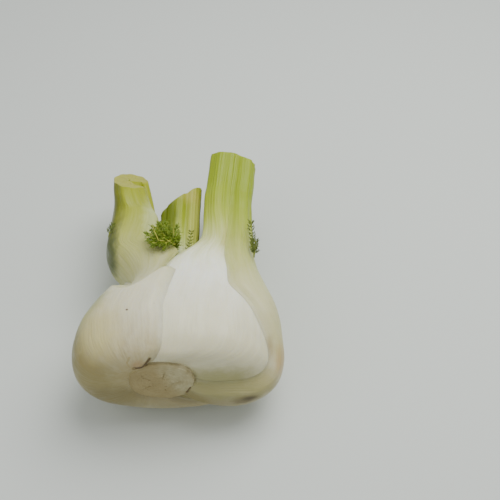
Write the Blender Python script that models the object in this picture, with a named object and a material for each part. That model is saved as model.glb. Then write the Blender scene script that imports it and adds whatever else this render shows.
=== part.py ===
"""A trimmed Florence fennel bulb, lying on its broad side.

Each leaf is one piece: a fleshy sheath that clasps the leaves inside it and runs up into a ribbed, cut stalk.
Two sheaths make the outer ring and two the inner ring, round the heart, and all of them stand on the root plate.
Feathery young fronds grow out of the gaps between the stalks.

The bulb's axis runs along +Y, from the root end to the stalks. +X is across the broad face and +Z is up.
The origin is the middle of the small flat spot that the bulb lies on.
"""
import math
import random
from collections import namedtuple

import bmesh
import bpy
import numpy as np
from mathutils import Matrix, Vector

# Driving dimensions, in metres
BULB_WIDTH = 0.092
UNIT = BULB_WIDTH / 92        # what follows is drawn for a bulb 92 units wide
REST_HEIGHT = 28.2 * UNIT     # from the flat spot up to the bulb's axis
REST_STATION = 36.0 * UNIT    # from the root plate to the middle of the flat spot
SKIN_GAP = 0.65 * UNIT        # between the two rings of sheaths
STALK_GAP = 1.1 * UNIT        # between two stalks that hug each other
SQUARENESS = 2.25             # 2 is an ellipse, more is a fuller section
RIB_COUNT = 8
SIDES_PER_RIB = 3

# One section of a sheath's outer face: how far it is from the root plate, where its middle lies (across and up),
# its half width, and its half thickness above and below that middle.
Section = namedtuple("Section", "along across up half above below")

BULB = [
    Section(2.6, -6.0, 3.0, 12.9, 10.9, 10.9),
    Section(0.6, -5.8, 2.8, 17.4, 13.8, 13.0),
    Section(0.9, -2.6, 2.0, 26.4, 18.0, 15.0),
    Section(3.0, -0.6, 1.0, 34.4, 21.6, 17.4),
    Section(7.5, 0.3, 0.3, 38.8, 25.0, 20.0),
    Section(14.0, 0.4, 0.0, 40.0, 27.0, 22.4),
    Section(21.0, 0.6, 0.0, 39.2, 27.6, 23.8),
    Section(29.0, 1.7, 0.0, 37.2, 27.2, 24.8),
    Section(37.0, 3.1, 0.0, 34.0, 25.4, 25.3),
    Section(45.0, 4.2, 0.0, 30.4, 22.6, 24.6),
    Section(51.0, 4.2, 0.2, 27.8, 20.2, 22.8),
]
RIGHT_STALK = [
    Section(57.0, 6.2, 0.6, 23.2, 18.2, 20.2),
    Section(63.5, 10.3, 1.0, 17.6, 16.0, 17.0),
    Section(71.0, 14.4, 1.6, 12.8, 13.6, 13.4),
    Section(80.0, 16.15, 2.6, 10.45, 11.2, 10.8),
    Section(92.0, 16.75, 4.2, 9.85, 9.8, 9.5),
    Section(104.0, 17.2, 6.0, 9.6, 9.2, 9.0),
    Section(117.0, 18.25, 8.3, 9.55, 9.1, 8.9),
    Section(130.0, 19.3, 10.9, 9.3, 9.2, 9.0),
]
LEFT_STALK = [
    Section(57.0, -0.1, 0.6, 28.2, 18.4, 20.4),
    Section(63.5, -10.0, 1.0, 24.4, 16.4, 17.4),
    Section(70.0, -20.0, 1.6, 16.8, 13.8, 13.8),
    Section(77.0, -24.7, 2.4, 12.5, 11.6, 11.4),
    Section(88.0, -24.8, 3.8, 11.9, 10.6, 10.4),
    Section(101.0, -26.5, 5.8, 9.8, 9.6, 9.4),
    Section(117.6, -29.6, 8.8, 8.3, 8.4, 8.2),
]
HEART = [
    Section(9.5, -4.0, 1.0, 14.0, 9.0, 8.0),
    Section(10.6, -2.5, 0.6, 24.0, 15.2, 11.6),
    Section(14.5, 0.2, 0.2, 31.4, 19.0, 14.8),
    Section(21.0, 0.6, 0.0, 31.4, 20.0, 16.6),
    Section(29.0, 1.7, 0.0, 29.4, 19.6, 17.2),
    Section(37.0, 3.1, 0.0, 26.0, 17.8, 17.6),
    Section(45.0, 4.2, 0.0, 22.2, 15.0, 16.6),
    Section(51.0, 3.8, 0.2, 19.4, 12.4, 14.6),
    Section(57.0, 1.6, 0.6, 15.8, 10.4, 12.0),
    Section(63.5, -1.2, 1.2, 12.6, 8.8, 9.0),
    Section(71.0, -2.4, 2.2, 9.6, 8.4, 8.2),
    Section(80.0, -2.9, 3.6, 9.4, 8.2, 8.0),
    Section(102.8, -2.9, 6.7, 9.4, 7.6, 7.4),
]
ROOT_PLATE = [
    Section(-1.0, -6.0, 3.0, 9.8, 8.0, 8.0),
    Section(-0.4, -6.0, 3.0, 10.7, 8.9, 8.9),
    Section(1.6, -6.0, 3.0, 10.9, 9.0, 9.0),
    Section(4.6, -6.0, 3.0, 10.9, 9.0, 9.0),
    Section(7.6, -6.0, 3.0, 7.6, 5.8, 5.8),
]

# Where the leaves have a row of faces, counted in sections. All leaves share these, so that their facets nest.
ROWS = [0, 0.5, 1, 1.5, 2, 2.5, 3, 3.5, 4, 5, 6, 7, 7.5, 8, 9, 9.5, 10, 10.5, 11, 11.5, 12, 12.5, 13, 13.5, 14, 15,
        16, 17, 18]
END_REACH = 4                 # how many sections an uneven end of a leaf draws the rows beside it along

# One feathery young frond: its stems, each from its root over its middle to its tip (across, along and up, like the
# sections), how many pairs of leaflets each stem has, how long they are, and how far they stray up and down.
Frond = namedtuple("Frond", "name stems pairs length stray colour seed")
STEM_THICKNESS = 1.2 * UNIT
LEAFLET_THICKNESS = 0.8 * UNIT

# One clasping leaf. face is the surface that it follows, side is +1 on the right and -1 on the left, and outer says
# that it lies on that surface and not under it. front and back are the angles that it spans from its midrib, in
# degrees, and middle and edge its thickness there, each at every section of its face. start and rim are the sections
# that it starts and ends at, from its back edge over its midrib to its front edge. cut is the slope of its cut end,
# across and up.
Leaf = namedtuple("Leaf", "name face side outer front back middle edge start rim cut ribs colour")


def smooth(rows, at):
    """Reads a smooth curve, which passes through one row at each whole number, at every number in at."""
    rows = np.asarray(rows, float)
    last = len(rows) - 1
    at = np.clip(np.asarray(at, float), 0, last)
    start = np.clip(np.floor(at).astype(int), 0, last - 1)
    part = (at - start)[..., None]
    before, first = rows[np.maximum(start - 1, 0)], rows[start]
    second, after = rows[start + 1], rows[np.minimum(start + 2, last)]
    return 0.5 * (
        2 * first
        + (second - before) * part
        + (2 * before - 5 * first + 4 * second - after) * part ** 2
        + (3 * first - before - 3 * second + after) * part ** 3
    )


def keyed(values, at):
    """The same for a plain list of numbers."""
    return smooth(np.asarray(values, float)[:, None], at)[..., 0]


def on_face(face, at, angle):
    """Points of a section's outline, in units: angle runs from +X towards +Z round the middle of the section."""
    along, across, up, half, above, below = np.moveaxis(smooth(face, at), -1, 0)
    cos, sin = np.cos(angle), np.sin(angle)
    power = 2 / SQUARENESS
    x = across + half * np.sign(cos) * np.abs(cos) ** power
    z = up + np.where(sin >= 0, above, below) * np.sign(sin) * np.abs(sin) ** power
    return np.stack(np.broadcast_arrays(x, along, z), axis=-1)


def outward(face, at, angle):
    """Unit normals of that face, pointing away from its middle."""
    step = 0.02
    rise = on_face(face, at + step, angle) - on_face(face, at - step, angle)
    turn = on_face(face, at, angle + step) - on_face(face, at, angle - step)
    normal = np.cross(rise, turn)
    return normal / np.linalg.norm(normal, axis=-1, keepdims=True)


def leaf_grid(leaf, columns, inside):
    """A grid of points on a leaf's outer or inner face, in units, from the root end up and from back to front."""
    share = np.linspace(0, 1, columns + 1)[None, :]
    first, last = (keyed(ends, share * (len(ends) - 1)) for ends in (leaf.start, leaf.rim))
    row = np.array([at for at in ROWS if at < last.max() - 0.3] + [last.max()])[:, None]
    at = row + first * np.clip(1 - row / END_REACH, 0, 1)
    at = at - (last.max() - last) * np.clip(1 - (last.max() - row) / END_REACH, 0, 1)
    front, back = np.radians(keyed(leaf.front, at)), np.radians(keyed(leaf.back, at))
    turn = share * (front + back) - back
    angle = turn if leaf.side > 0 else math.pi - turn
    off_middle = np.abs(2 * share - 1) ** 3
    thick = keyed(leaf.middle, at) * (1 - off_middle) + keyed(leaf.edge, at) * off_middle
    skin = SKIN_GAP / UNIT + (STALK_GAP - SKIN_GAP) / UNIT * np.clip((at - 8) / 2, 0, 1)
    relief = leaf.ribs * np.clip((at - 11) / 3, 0, 1) * (0.5 + 0.5 * np.cos(2 * math.pi * RIB_COUNT * share))
    if leaf.outer:
        lift = skin if inside else skin + thick + relief
    else:
        lift = -thick if inside else relief
    points = on_face(leaf.face, at, angle) + lift[..., None] * outward(leaf.face, at, angle)
    middle = smooth(leaf.face, at)
    slope = leaf.cut[0] * (points[..., 0] - middle[..., 1]) + leaf.cut[1] * (points[..., 2] - middle[..., 2])
    points[..., 1] += slope * np.clip((at - last + 1.5) / 1.5, 0, 1)
    return points


def placed(points):
    """From units along the bulb to metres where it lies."""
    return np.asarray(points) * UNIT + np.array([0.0, -REST_STATION, REST_HEIGHT])


def material(name, colour, roughness):
    """A plain Principled material."""
    made = bpy.data.materials.new(name)
    made.use_nodes = True
    shader = made.node_tree.nodes["Principled BSDF"]
    shader.inputs["Base Color"].default_value = (*colour, 1.0)
    shader.inputs["Roughness"].default_value = roughness
    made.diffuse_color = (*colour, 1.0)
    return made


def object_from(name, mesh_data, collection, finish):
    """Closes a bmesh into a named, smooth-shaded object with its normals pointing out."""
    bmesh.ops.recalc_face_normals(mesh_data, faces=mesh_data.faces)
    mesh = bpy.data.meshes.new(name)
    mesh_data.to_mesh(mesh)
    mesh_data.free()
    mesh.shade_smooth()
    if finish:
        mesh.materials.append(finish)
    made = bpy.data.objects.new(name, mesh)
    collection.objects.link(made)
    return made


def stitch(mesh_data, long_row, short_row):
    """Faces between two rows of vertices, the first with a whole number of times as many steps as the second."""
    times = (len(long_row) - 1) // (len(short_row) - 1)
    for i in range(len(short_row) - 1):
        for k in range(times):
            corners = [long_row[i * times + k], long_row[i * times + k + 1], short_row[i]]
            mesh_data.faces.new(corners)
        mesh_data.faces.new([long_row[(i + 1) * times], short_row[i + 1], short_row[i]])


def leaf_object(leaf, collection):
    """Lofts a clasping leaf: its outer face, its inner face, its two thin edges and its two ends."""
    mesh_data = bmesh.new()
    grids = []
    columns = RIB_COUNT * SIDES_PER_RIB
    for sides, inside in ((columns, False), (columns if leaf.outer else columns // 2, True)):
        points = placed(leaf_grid(leaf, sides, inside))
        grids.append([[mesh_data.verts.new(p) for p in row] for row in points])
    for grid in grids:
        for low, high in zip(grid, grid[1:]):
            for k in range(len(low) - 1):
                mesh_data.faces.new([low[k], low[k + 1], high[k + 1], high[k]])
    outer, inner = grids
    for edge in (0, -1):
        for i in range(len(outer) - 1):
            mesh_data.faces.new([outer[i][edge], outer[i + 1][edge], inner[i + 1][edge], inner[i][edge]])
    for end in (0, -1):
        stitch(mesh_data, outer[end], inner[end])
    return object_from(leaf.name, mesh_data, collection, material(leaf.name, leaf.colour, 0.35))


def lofted(name, face, rows, sides, collection, finish, cut=(0.0, 0.0)):
    """Lofts a closed solid through whole sections, with a flat end at each end."""
    at = np.linspace(0, len(face) - 1, rows + 1)[:, None]
    angle = np.linspace(0, 2 * math.pi, sides, endpoint=False)[None, :]
    points = on_face(face, at, angle)
    middle = smooth(face, at)
    slope = cut[0] * (points[..., 0] - middle[..., 1]) + cut[1] * (points[..., 2] - middle[..., 2])
    points[..., 1] += slope * np.clip(at - len(face) + 2, 0, 1)
    mesh_data = bmesh.new()
    rings = [[mesh_data.verts.new(p) for p in row] for row in placed(points)]
    for low, high in zip(rings, rings[1:]):
        for k in range(sides):
            mesh_data.faces.new([low[k], low[(k + 1) % sides], high[(k + 1) % sides], high[k]])
    mesh_data.faces.new(rings[0])
    mesh_data.faces.new(rings[-1])
    return object_from(name, mesh_data, collection, finish)


def tube_mesh(name, path, thickness, group):
    """A slim tapering stem along a path, as a bmesh."""
    curve = bpy.data.curves.new(name, "CURVE")
    curve.dimensions = "3D"
    curve.bevel_depth = thickness / 2
    curve.bevel_resolution = 1
    curve.use_fill_caps = True
    spline = curve.splines.new("POLY")
    spline.points.add(len(path) - 1)
    for i, (point, spot) in enumerate(zip(spline.points, path)):
        point.co = (*spot, 1.0)
        point.radius = 1.0 - 0.45 * i / (len(path) - 1)
    guide = bpy.data.objects.new(name + "_guide", curve)
    group.objects.link(guide)
    bpy.context.view_layer.update()
    mesh = bpy.data.meshes.new_from_object(guide.evaluated_get(bpy.context.evaluated_depsgraph_get()))
    bpy.data.objects.remove(guide)
    mesh_data = bmesh.new()
    mesh_data.from_mesh(mesh)
    bpy.data.meshes.remove(mesh)
    bmesh.ops.remove_doubles(mesh_data, verts=mesh_data.verts, dist=0.00002)
    return mesh_data


def leaflet(root, way, length, name, group):
    """A thin three-sided leaflet with its root sunk into what it grows from."""
    way = Vector(way).normalized()
    sink = STEM_THICKNESS * 0.3
    place = Matrix.Translation(Vector(root) + way * (length - sink) / 2)
    place = place @ way.to_track_quat("Z", "Y").to_matrix().to_4x4()
    mesh_data = bmesh.new()
    bmesh.ops.create_cone(
        mesh_data, cap_ends=True, segments=3, radius1=LEAFLET_THICKNESS * 0.62, radius2=LEAFLET_THICKNESS * 0.42,
        depth=length + sink, matrix=place,
    )
    mesh = bpy.data.meshes.new(name)
    mesh_data.to_mesh(mesh)
    mesh_data.free()
    group.objects.link(bpy.data.objects.new(name, mesh))


def frond_object(frond, collection):
    """Grows the stems and pairs of forked leaflets of a frond, and fuses them into one body."""
    draw = random.Random(frond.seed)
    group = bpy.data.collections.new(frond.name + "_repeats")
    bpy.context.scene.collection.children.link(group)
    body = None
    for number, stem in enumerate(frond.stems):
        steps = 5
        path = placed(smooth(stem, np.linspace(0, len(stem) - 1, steps + 1)))
        name = f"{frond.name}_stem_{number}"
        made = object_from(name, tube_mesh(name, path, STEM_THICKNESS, group), group, None)
        if body is None:
            body = made
            group.objects.unlink(made)
        for pair in range(frond.pairs):
            share = 0.35 + 0.65 * (pair + 1) / frond.pairs
            spot = placed(smooth(stem, np.array([share * (len(stem) - 1) - 0.02])))[0]
            ahead = placed(smooth(stem, np.array([share * (len(stem) - 1)])))[0] - spot
            ahead = Vector(ahead).normalized()
            across = ahead.cross(Vector((0, 0, 1))).normalized()
            for turn in (-1, 1):
                lean = draw.uniform(0.5, 1.0)
                way = across * turn + ahead * lean + Vector((0, 0, draw.uniform(*frond.stray)))
                way.normalize()
                length = frond.length * UNIT * draw.uniform(0.8, 1.15) * (1 - 0.25 * share)
                leaflet(spot, way, length, f"{name}_leaflet", group)
                fork = Vector(spot) + way * length * draw.uniform(0.35, 0.55)
                aside = way * 0.7 + ahead * 0.8 + Vector((0, 0, draw.uniform(*frond.stray)))
                leaflet(fork, aside, length * 0.55, f"{name}_leaflet", group)
    fuse = body.modifiers.new("fuse", "BOOLEAN")
    fuse.operation = "UNION"
    fuse.operand_type = "COLLECTION"
    fuse.collection = group
    collection.objects.link(body)
    bpy.context.view_layer.update()
    fused = bpy.data.meshes.new_from_object(body.evaluated_get(bpy.context.evaluated_depsgraph_get()))
    for spare in list(group.objects) + [body]:
        bpy.data.objects.remove(spare)
    bpy.data.collections.remove(group)
    fused.name = frond.name
    fused.materials.clear()
    fused.materials.append(material(frond.name, frond.colour, 0.6))
    collection.objects.link(bpy.data.objects.new(frond.name, fused))


def flatten_underside(leaf, cutters):
    """Cuts the small flat spot that the bulb lies on out of its lowest leaf."""
    bpy.ops.mesh.primitive_cube_add(size=1, location=(0, 0, -0.05))
    cutter = bpy.context.object
    cutter.name = "floor_cutter"
    cutter.scale = (0.3, 0.4, 0.1)
    cutter.hide_render = True
    cutter.display_type = "WIRE"
    for owner in list(cutter.users_collection):
        owner.objects.unlink(cutter)
    cutters.objects.link(cutter)
    cut = leaf.modifiers.new("flat_spot", "BOOLEAN")
    cut.operation = "DIFFERENCE"
    cut.object = cutter


def clear_scene():
    """Removes what Blender starts with."""
    for found in list(bpy.data.objects):
        bpy.data.objects.remove(found)


PALE = (0.62, 0.62, 0.45)
CREAM = (0.66, 0.64, 0.49)
GREEN = (0.42, 0.48, 0.14)


def clasping_leaves():
    """The four sheaths with their stalks, from the outside in."""
    right_face, left_face = BULB + RIGHT_STALK, BULB + LEFT_STALK
    return [
        Leaf("outer_left_sheath", left_face, -1, True,
             front=[84, 84, 84, 85, 85, 85, 84, 84, 83, 82, 82, 82, 82],
             back=[112, 112, 113, 116, 119, 121, 122, 122, 120, 117, 112, 108, 106],
             middle=[2.0, 2.5, 3.0, 3.7, 4.3, 4.8, 5.0, 5.0, 4.8, 4.2, 2.9, 1.8, 1.5],
             edge=[1.0, 1.0, 1.1, 1.2, 1.3, 1.3, 1.3, 1.3, 1.2, 1.1, 1.0, 1.0, 1.0],
             start=[0.0, 0.0, 0.0, 0.2, 1.2],
             rim=[10.2, 10.3, 10.4, 10.5, 10.6, 10.65, 10.7, 10.75, 10.8, 10.85, 10.9, 10.9, 10.9, 10.85, 10.7, 10.3,
                  9.7, 9.1, 8.6, 8.15, 7.75, 7.65, 8.1, 9.4, 9.0],
             cut=(0.0, 0.0), ribs=0.2, colour=CREAM),
        Leaf("outer_right_leaf", right_face, 1, True,
             front=[2, 0, 0, 3, 9, 19, 31, 43.5, 57.5, 58.5, 56, 57, 61, 66, 67, 66, 65, 64, 63],
             back=[62, 62, 60, 58, 56, 54, 53, 53, 54, 56, 60, 64, 70, 75, 76, 76, 74, 72, 70],
             middle=[2.2, 3.0, 4.0, 4.8, 5.2, 5.3, 5.3, 5.3, 5.2, 5.0, 4.9, 4.8, 4.7, 4.5, 4.4, 4.2, 4.0, 3.9, 3.8],
             edge=[1.0, 1.0, 1.1, 1.2, 1.3, 1.3, 1.3, 1.3, 1.2, 1.2, 1.1, 1.1, 1.1, 1.1, 1.2, 1.2, 1.2, 1.2, 1.2],
             start=[0.0, 0.0], rim=[17.9, 17.9], cut=(-0.25, -0.3), ribs=0.5, colour=PALE),
        Leaf("left_leaf", left_face, -1, False,
             front=[70, 70, 70, 70, 70, 70, 70, 70, 70, 70, 71, 85, 103, 117, 144, 154, 155, 155],
             back=[70, 70, 70, 70, 70, 70, 70, 70, 70, 70, 70, 74, 88, 118, 144, 154, 155, 155],
             middle=[4.4, 4.8, 5.2, 5.6, 6.0, 6.0, 6.0, 6.0, 6.0, 6.0, 6.0, 6.2, 6.8, 7.6, 8.2, 8.4, 8.0, 7.2],
             edge=[1.6, 1.6, 1.6, 1.6, 1.6, 1.6, 1.6, 1.6, 1.6, 1.6, 1.6, 1.7, 1.9, 2.2, 2.5, 2.8, 2.8, 2.8],
             start=[0.0, 0.0], rim=[17.0, 17.0], cut=(-0.3, -1.65), ribs=0.5, colour=GREEN),
        Leaf("right_leaf", right_face, 1, False,
             front=[107, 107, 107, 107, 107, 107, 107, 107, 107, 107, 107, 108, 112, 117, 128, 140, 142, 142, 142],
             back=[107, 107, 107, 107, 107, 107, 107, 107, 107, 107, 107, 106, 108, 116, 130, 140, 142, 142, 142],
             middle=[4.4, 4.8, 5.2, 5.6, 6.0, 6.0, 6.0, 6.0, 6.0, 6.0, 6.0, 6.2, 6.6, 7.6, 8.2, 8.6, 8.4, 8.2, 8.0],
             edge=[1.6, 1.6, 1.6, 1.6, 1.6, 1.6, 1.6, 1.6, 1.6, 1.6, 1.6, 1.7, 1.8, 2.1, 2.4, 2.8, 2.8, 2.8, 2.8],
             start=[0.0, 0.0], rim=[18.0, 18.0], cut=(-0.1, -0.35), ribs=0.35, colour=GREEN),
    ]


def young_fronds():
    """The tuft between the two big stalks and the small sprigs beside the stalks."""
    return [
        Frond("young_frond",
              stems=[
                  [(-5.4, 60.5, 12.6), (-4.9, 67.3, 14.6), (-8.4, 69.5, 18.4), (-9.8, 76.0, 18.2)],
                  [(-5.6, 60.8, 12.8), (-5.6, 68.4, 16.2), (-11.2, 63.4, 21.0), (-14.2, 68.6, 20.6)],
                  [(-5.2, 60.8, 12.8), (-4.6, 66.0, 14.4), (-4.2, 69.5, 17.0), (-4.4, 74.5, 17.4)],
                  [(-5.0, 60.6, 12.8), (-4.3, 67.8, 15.2), (-4.8, 65.0, 19.6), (-8.0, 61.8, 20.6)],
              ],
              pairs=5, length=5.0, stray=(-0.1, 0.45), colour=(0.10, 0.15, 0.03), seed=26),
        Frond("heart_sprig",
              stems=[[(2.6, 62.5, 12.2), (2.9, 66.0, 13.6), (3.4, 70.0, 14.6), (3.6, 75.0, 14.8)]],
              pairs=4, length=2.4, stray=(0.0, 0.5), colour=(0.16, 0.22, 0.05), seed=7),
        Frond("right_sprig",
              stems=[[(33.2, 61.0, 12.6), (32.8, 66.5, 14.2), (32.4, 73.0, 15.2), (31.8, 80.5, 15.6)]],
              pairs=6, length=2.8, stray=(0.1, 0.7), colour=(0.10, 0.15, 0.03), seed=11),
        Frond("left_sprig",
              stems=[[(-35.6, 74.5, 12.0), (-35.0, 76.8, 13.2), (-34.5, 79.0, 13.6), (-34.1, 81.5, 13.4)]],
              pairs=4, length=2.0, stray=(0.1, 0.6), colour=(0.16, 0.22, 0.05), seed=13),
    ]


def main():
    clear_scene()
    bulb = bpy.data.collections.new("fennel_bulb")
    cutters = bpy.data.collections.new("cutters")
    for made in (bulb, cutters):
        bpy.context.scene.collection.children.link(made)
    leaves = {leaf.name: leaf_object(leaf, bulb) for leaf in clasping_leaves()}
    flatten_underside(leaves["outer_left_sheath"], cutters)
    lofted("heart_leaf", HEART, 20, 20, bulb, material("heart_leaf", GREEN, 0.4), cut=(1.02, -0.3))
    lofted("root_plate", ROOT_PLATE, 8, 28, bulb, material("root_plate", (0.42, 0.32, 0.19), 0.8))
    for frond in young_fronds():
        frond_object(frond, bulb)


main()
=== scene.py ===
"""Dresses a trimmed Florence fennel bulb that lies on its broad side.

Every leaf, the heart, the root plate and the four fronds stand for the CAD node of the same form. They
follow the same sections as that node, with finer ribs, thin margins, rounded edges, cut faces and feathery
leaflets.
Lengths in the tables are in millimetres along the bulb, and MM takes them to metres.
"""

import logging
import math
import random
from collections.abc import Sequence
from dataclasses import dataclass, field
from enum import Enum

import bpy
import numpy as np
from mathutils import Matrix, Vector


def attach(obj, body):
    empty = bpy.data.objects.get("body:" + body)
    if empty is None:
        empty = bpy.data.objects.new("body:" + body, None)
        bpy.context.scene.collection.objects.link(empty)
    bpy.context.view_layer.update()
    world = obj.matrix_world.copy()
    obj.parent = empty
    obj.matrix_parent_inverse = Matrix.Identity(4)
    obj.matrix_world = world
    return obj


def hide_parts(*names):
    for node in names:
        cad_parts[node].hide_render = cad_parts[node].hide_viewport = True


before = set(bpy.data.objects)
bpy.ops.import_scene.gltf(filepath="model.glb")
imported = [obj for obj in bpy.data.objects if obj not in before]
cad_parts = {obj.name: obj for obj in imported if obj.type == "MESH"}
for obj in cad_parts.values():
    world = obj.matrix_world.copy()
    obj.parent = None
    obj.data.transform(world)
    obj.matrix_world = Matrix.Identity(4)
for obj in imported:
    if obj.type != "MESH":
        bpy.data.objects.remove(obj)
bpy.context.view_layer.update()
LOG = logging.getLogger("fennel_bulb")

MM = 0.001
REST_HEIGHT = 28.2            # mm, from the flat spot up to the bulb's axis
REST_STATION = 36.0           # mm, from the root plate to the middle of the flat spot
SQUARENESS = 2.25             # 2 is an ellipse, more is a fuller section
BROAD_RIBS = 8                # ribs across a leaf that the CAD node has too
END_REACH = 4                 # sections over which an uneven end draws the rows beside it along
SKIN_GAP = 0.65               # mm between the two rings of sheaths
STALK_GAP = 1.1               # mm between two stalks that hug each other
THINNED = 0.88                # share of its thickness that an outer leaf loses at a free edge
CLOSED = 0.97                 # share of the gap below it that goes there
WAVES = 7                     # crossed waves in a ripple
WAVE_SUM = 4.2                # about what they add up to at most

MIX_COLOURS = (6, 7)          # a Mix node's inputs for colours
MIX_RESULT = 2                # its output for a colour
VEIN_LENGTHS = 5.0            # veins end to end along a leaf
FINE_VEINS = (95.0, 0.02)     # veins across a leaf, and how far they wander
BROAD_VEINS = (26.0, 0.03)
BROAD_SHIFT = 0.045           # how far the broad veins draw the colours along the bulb
FINE_SHIFT = 0.015            # how far the fine ones do
SHEATH_VEINS = 0.10           # how strongly the veins show on the sheath
STALK_REACH = (0.0, 0.045)    # metres along the bulb over which sheath turns into stalk
ROOT_FADE = (-0.037, -0.022)  # metres along the bulb over which the free edges' tint sets in
STAIN_OR_SHADING_NOISE = 210.0           # cells a metre, as in every noise below
PORE_NOISE = 2600.0
WAVE_NOISE = 240.0
STRAND_NOISE = 780.0
FLESH_NOISE = 420.0
SCRATCH_WAVER = 0.0006        # metres that a scratch strays
SCRATCH_CORE = 0.35           # share of a scratch's width that shows in full
SKIN_DEPTH = 0.00022          # metres of relief in each finish
CORK_DEPTH = 0.0005
FROND_DEPTH = 0.0001
PLATE_MIDDLE = (-0.006, 0.0, 0.0312)
RING_PACE = 4200.0            # radians a metre, out from the plate's middle
AGED = (0.74, 0.66, 0.46)
WAX_ROUGHNESS = (0.29, 0.46)
WAX = {"Subsurface_Weight": 0.22, "Subsurface_Radius": (1.0, 0.8, 0.35), "Subsurface_Scale": 0.003,
       "Coat_Weight": 0.06, "Coat_Roughness": 0.3, "Specular_IOR_Level": 0.28}
FEATHERY = {"Subsurface_Weight": 0.1, "Subsurface_Radius": (0.6, 1.0, 0.2), "Subsurface_Scale": 0.0008}

Colour = tuple[float, float, float]
Spot = tuple[float, float, float]


class Side(Enum):
    """Which side of the bulb a leaf's midrib is on."""

    RIGHT = 1
    LEFT = -1


class End(Enum):
    """How the upper end of a leaf is finished."""

    KNIFE = "cut flat with a knife"
    TORN = "a thin soft rim"


# Curves and relief


def smooth(rows: np.ndarray, at: np.ndarray) -> np.ndarray:
    """Reads a smooth curve that passes through one row at each whole number.

    Args:
        rows: the curve's rows, one per whole number.
        at: the numbers to read it at.

    Returns:
        One row for each number in at, on a last axis of its own.
    """
    rows = np.asarray(rows, float)
    last = len(rows) - 1
    at = np.clip(np.asarray(at, float), 0, last)
    start = np.clip(np.floor(at).astype(int), 0, last - 1)
    part = (at - start)[..., None]
    before, first = rows[np.maximum(start - 1, 0)], rows[start]
    second, after = rows[start + 1], rows[np.minimum(start + 2, last)]
    return 0.5 * (
        2 * first
        + (second - before) * part
        + (2 * before - 5 * first + 4 * second - after) * part ** 2
        + (3 * first - before - 3 * second + after) * part ** 3
    )


def keyed(values: Sequence[float], at: np.ndarray) -> np.ndarray:
    """Reads a plain list of numbers as a smooth curve."""
    return smooth(np.asarray(values, float)[:, None], at)[..., 0]


def eased(value: np.ndarray, low: float, high: float) -> np.ndarray:
    """Goes softly from 0 at low to 1 at high."""
    part = np.clip((value - low) / (high - low), 0, 1)
    return part * part * (3 - 2 * part)


def unit(vectors: np.ndarray) -> np.ndarray:
    """Gives each vector a length of 1."""
    return vectors / np.maximum(np.linalg.norm(vectors, axis=-1, keepdims=True), 1e-12)


def ripple(points: np.ndarray, wave: float, seed: int) -> np.ndarray:
    """Smooth uneven values between about -1 and 1 from crossed waves.

    Args:
        points: places in space, on the last axis.
        wave: the typical length of a wave, in the unit of points.
        seed: picks the waves.

    Returns:
        One value for each place.
    """
    draw = np.random.default_rng(seed)
    total = np.zeros(points.shape[:-1])
    for _ in range(WAVES):
        way = draw.normal(size=3)
        way /= np.linalg.norm(way)
        pace = 2 * math.pi / (wave * draw.uniform(0.65, 1.5))
        total += np.sin(points @ way * pace + draw.uniform(0, 2 * math.pi))
    return total / WAVE_SUM


def crest(angle: np.ndarray) -> np.ndarray:
    """Goes evenly from 1 to 0 and back as an angle turns."""
    return 0.5 + 0.5 * np.cos(angle)


def dents(points: np.ndarray) -> np.ndarray:
    """The gentle unevenness, in mm, that all leaves share, so that they still nest."""
    return 0.34 * ripple(points, 26.0, 3) + 0.13 * ripple(points, 11.0, 8)


def placed(points: np.ndarray) -> np.ndarray:
    """Takes mm along the bulb to metres where the bulb lies, never below what it lies on."""
    spots = (np.asarray(points) + np.array([0.0, -REST_STATION, REST_HEIGHT])) * MM
    spots[..., 2] = np.maximum(spots[..., 2], 0.0)
    return spots


# The forms that the leaves follow


@dataclass(frozen=True)
class Face:
    """A surface along the bulb, through cross-sections.

    Each row has the distance from the root plate, where the section's middle lies across and up, its half
    width, and its half thickness above and below that middle, in mm.
    """

    rows: tuple[tuple[float, ...], ...]

    def spots(self, at: np.ndarray, angle: np.ndarray) -> np.ndarray:
        """Points on the surface.

        Args:
            at: places along it, counted in sections.
            angle: angles round the section's middle, from +X towards +Z, in radians.

        Returns:
            Points in mm.
        """
        along, across, up, half, above, below = np.moveaxis(smooth(self.rows, at), -1, 0)
        cos, sin = np.cos(angle), np.sin(angle)
        power = 2 / SQUARENESS
        x = across + half * np.sign(cos) * np.abs(cos) ** power
        z = up + np.where(sin >= 0, above, below) * np.sign(sin) * np.abs(sin) ** power
        return np.stack(np.broadcast_arrays(x, along, z), axis=-1)

    def outward(self, at: np.ndarray, angle: np.ndarray) -> np.ndarray:
        """Unit normals of the surface at those places."""
        step = 0.02
        rise = self.spots(at + step, angle) - self.spots(at - step, angle)
        turn = self.spots(at, angle + step) - self.spots(at, angle - step)
        return unit(np.cross(rise, turn))

    def middle(self, at: np.ndarray) -> np.ndarray:
        """The sections' middles: across, along and up."""
        return smooth(self.rows, at)[..., [1, 0, 2]]

    def rolled(self, rows: int, first: int, last: int) -> tuple[np.ndarray, np.ndarray]:
        """Lays the rows of a form that closes at both ends along the surface.

        Args:
            rows: how many rows of faces the form has.
            first: the row where its lower end is all open.
            last: the row where its upper end starts to close.

        Returns:
            The section of each row, and its width, from 0 at a closed end to 1.
        """
        marks, row, top = [0, first, last, rows], np.arange(rows + 1), len(self.rows) - 1
        return np.interp(row, marks, [0, 0, top, top])[:, None], np.interp(row, marks, [0, 1, 1, 0])[:, None]


def slant(points: np.ndarray, middle: np.ndarray, cut: tuple[float, float]) -> np.ndarray:
    """How far along a slanting cut lies at each point, for its slope across and up."""
    return cut[0] * (points[..., 0] - middle[..., 0]) + cut[1] * (points[..., 2] - middle[..., 2])


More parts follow.
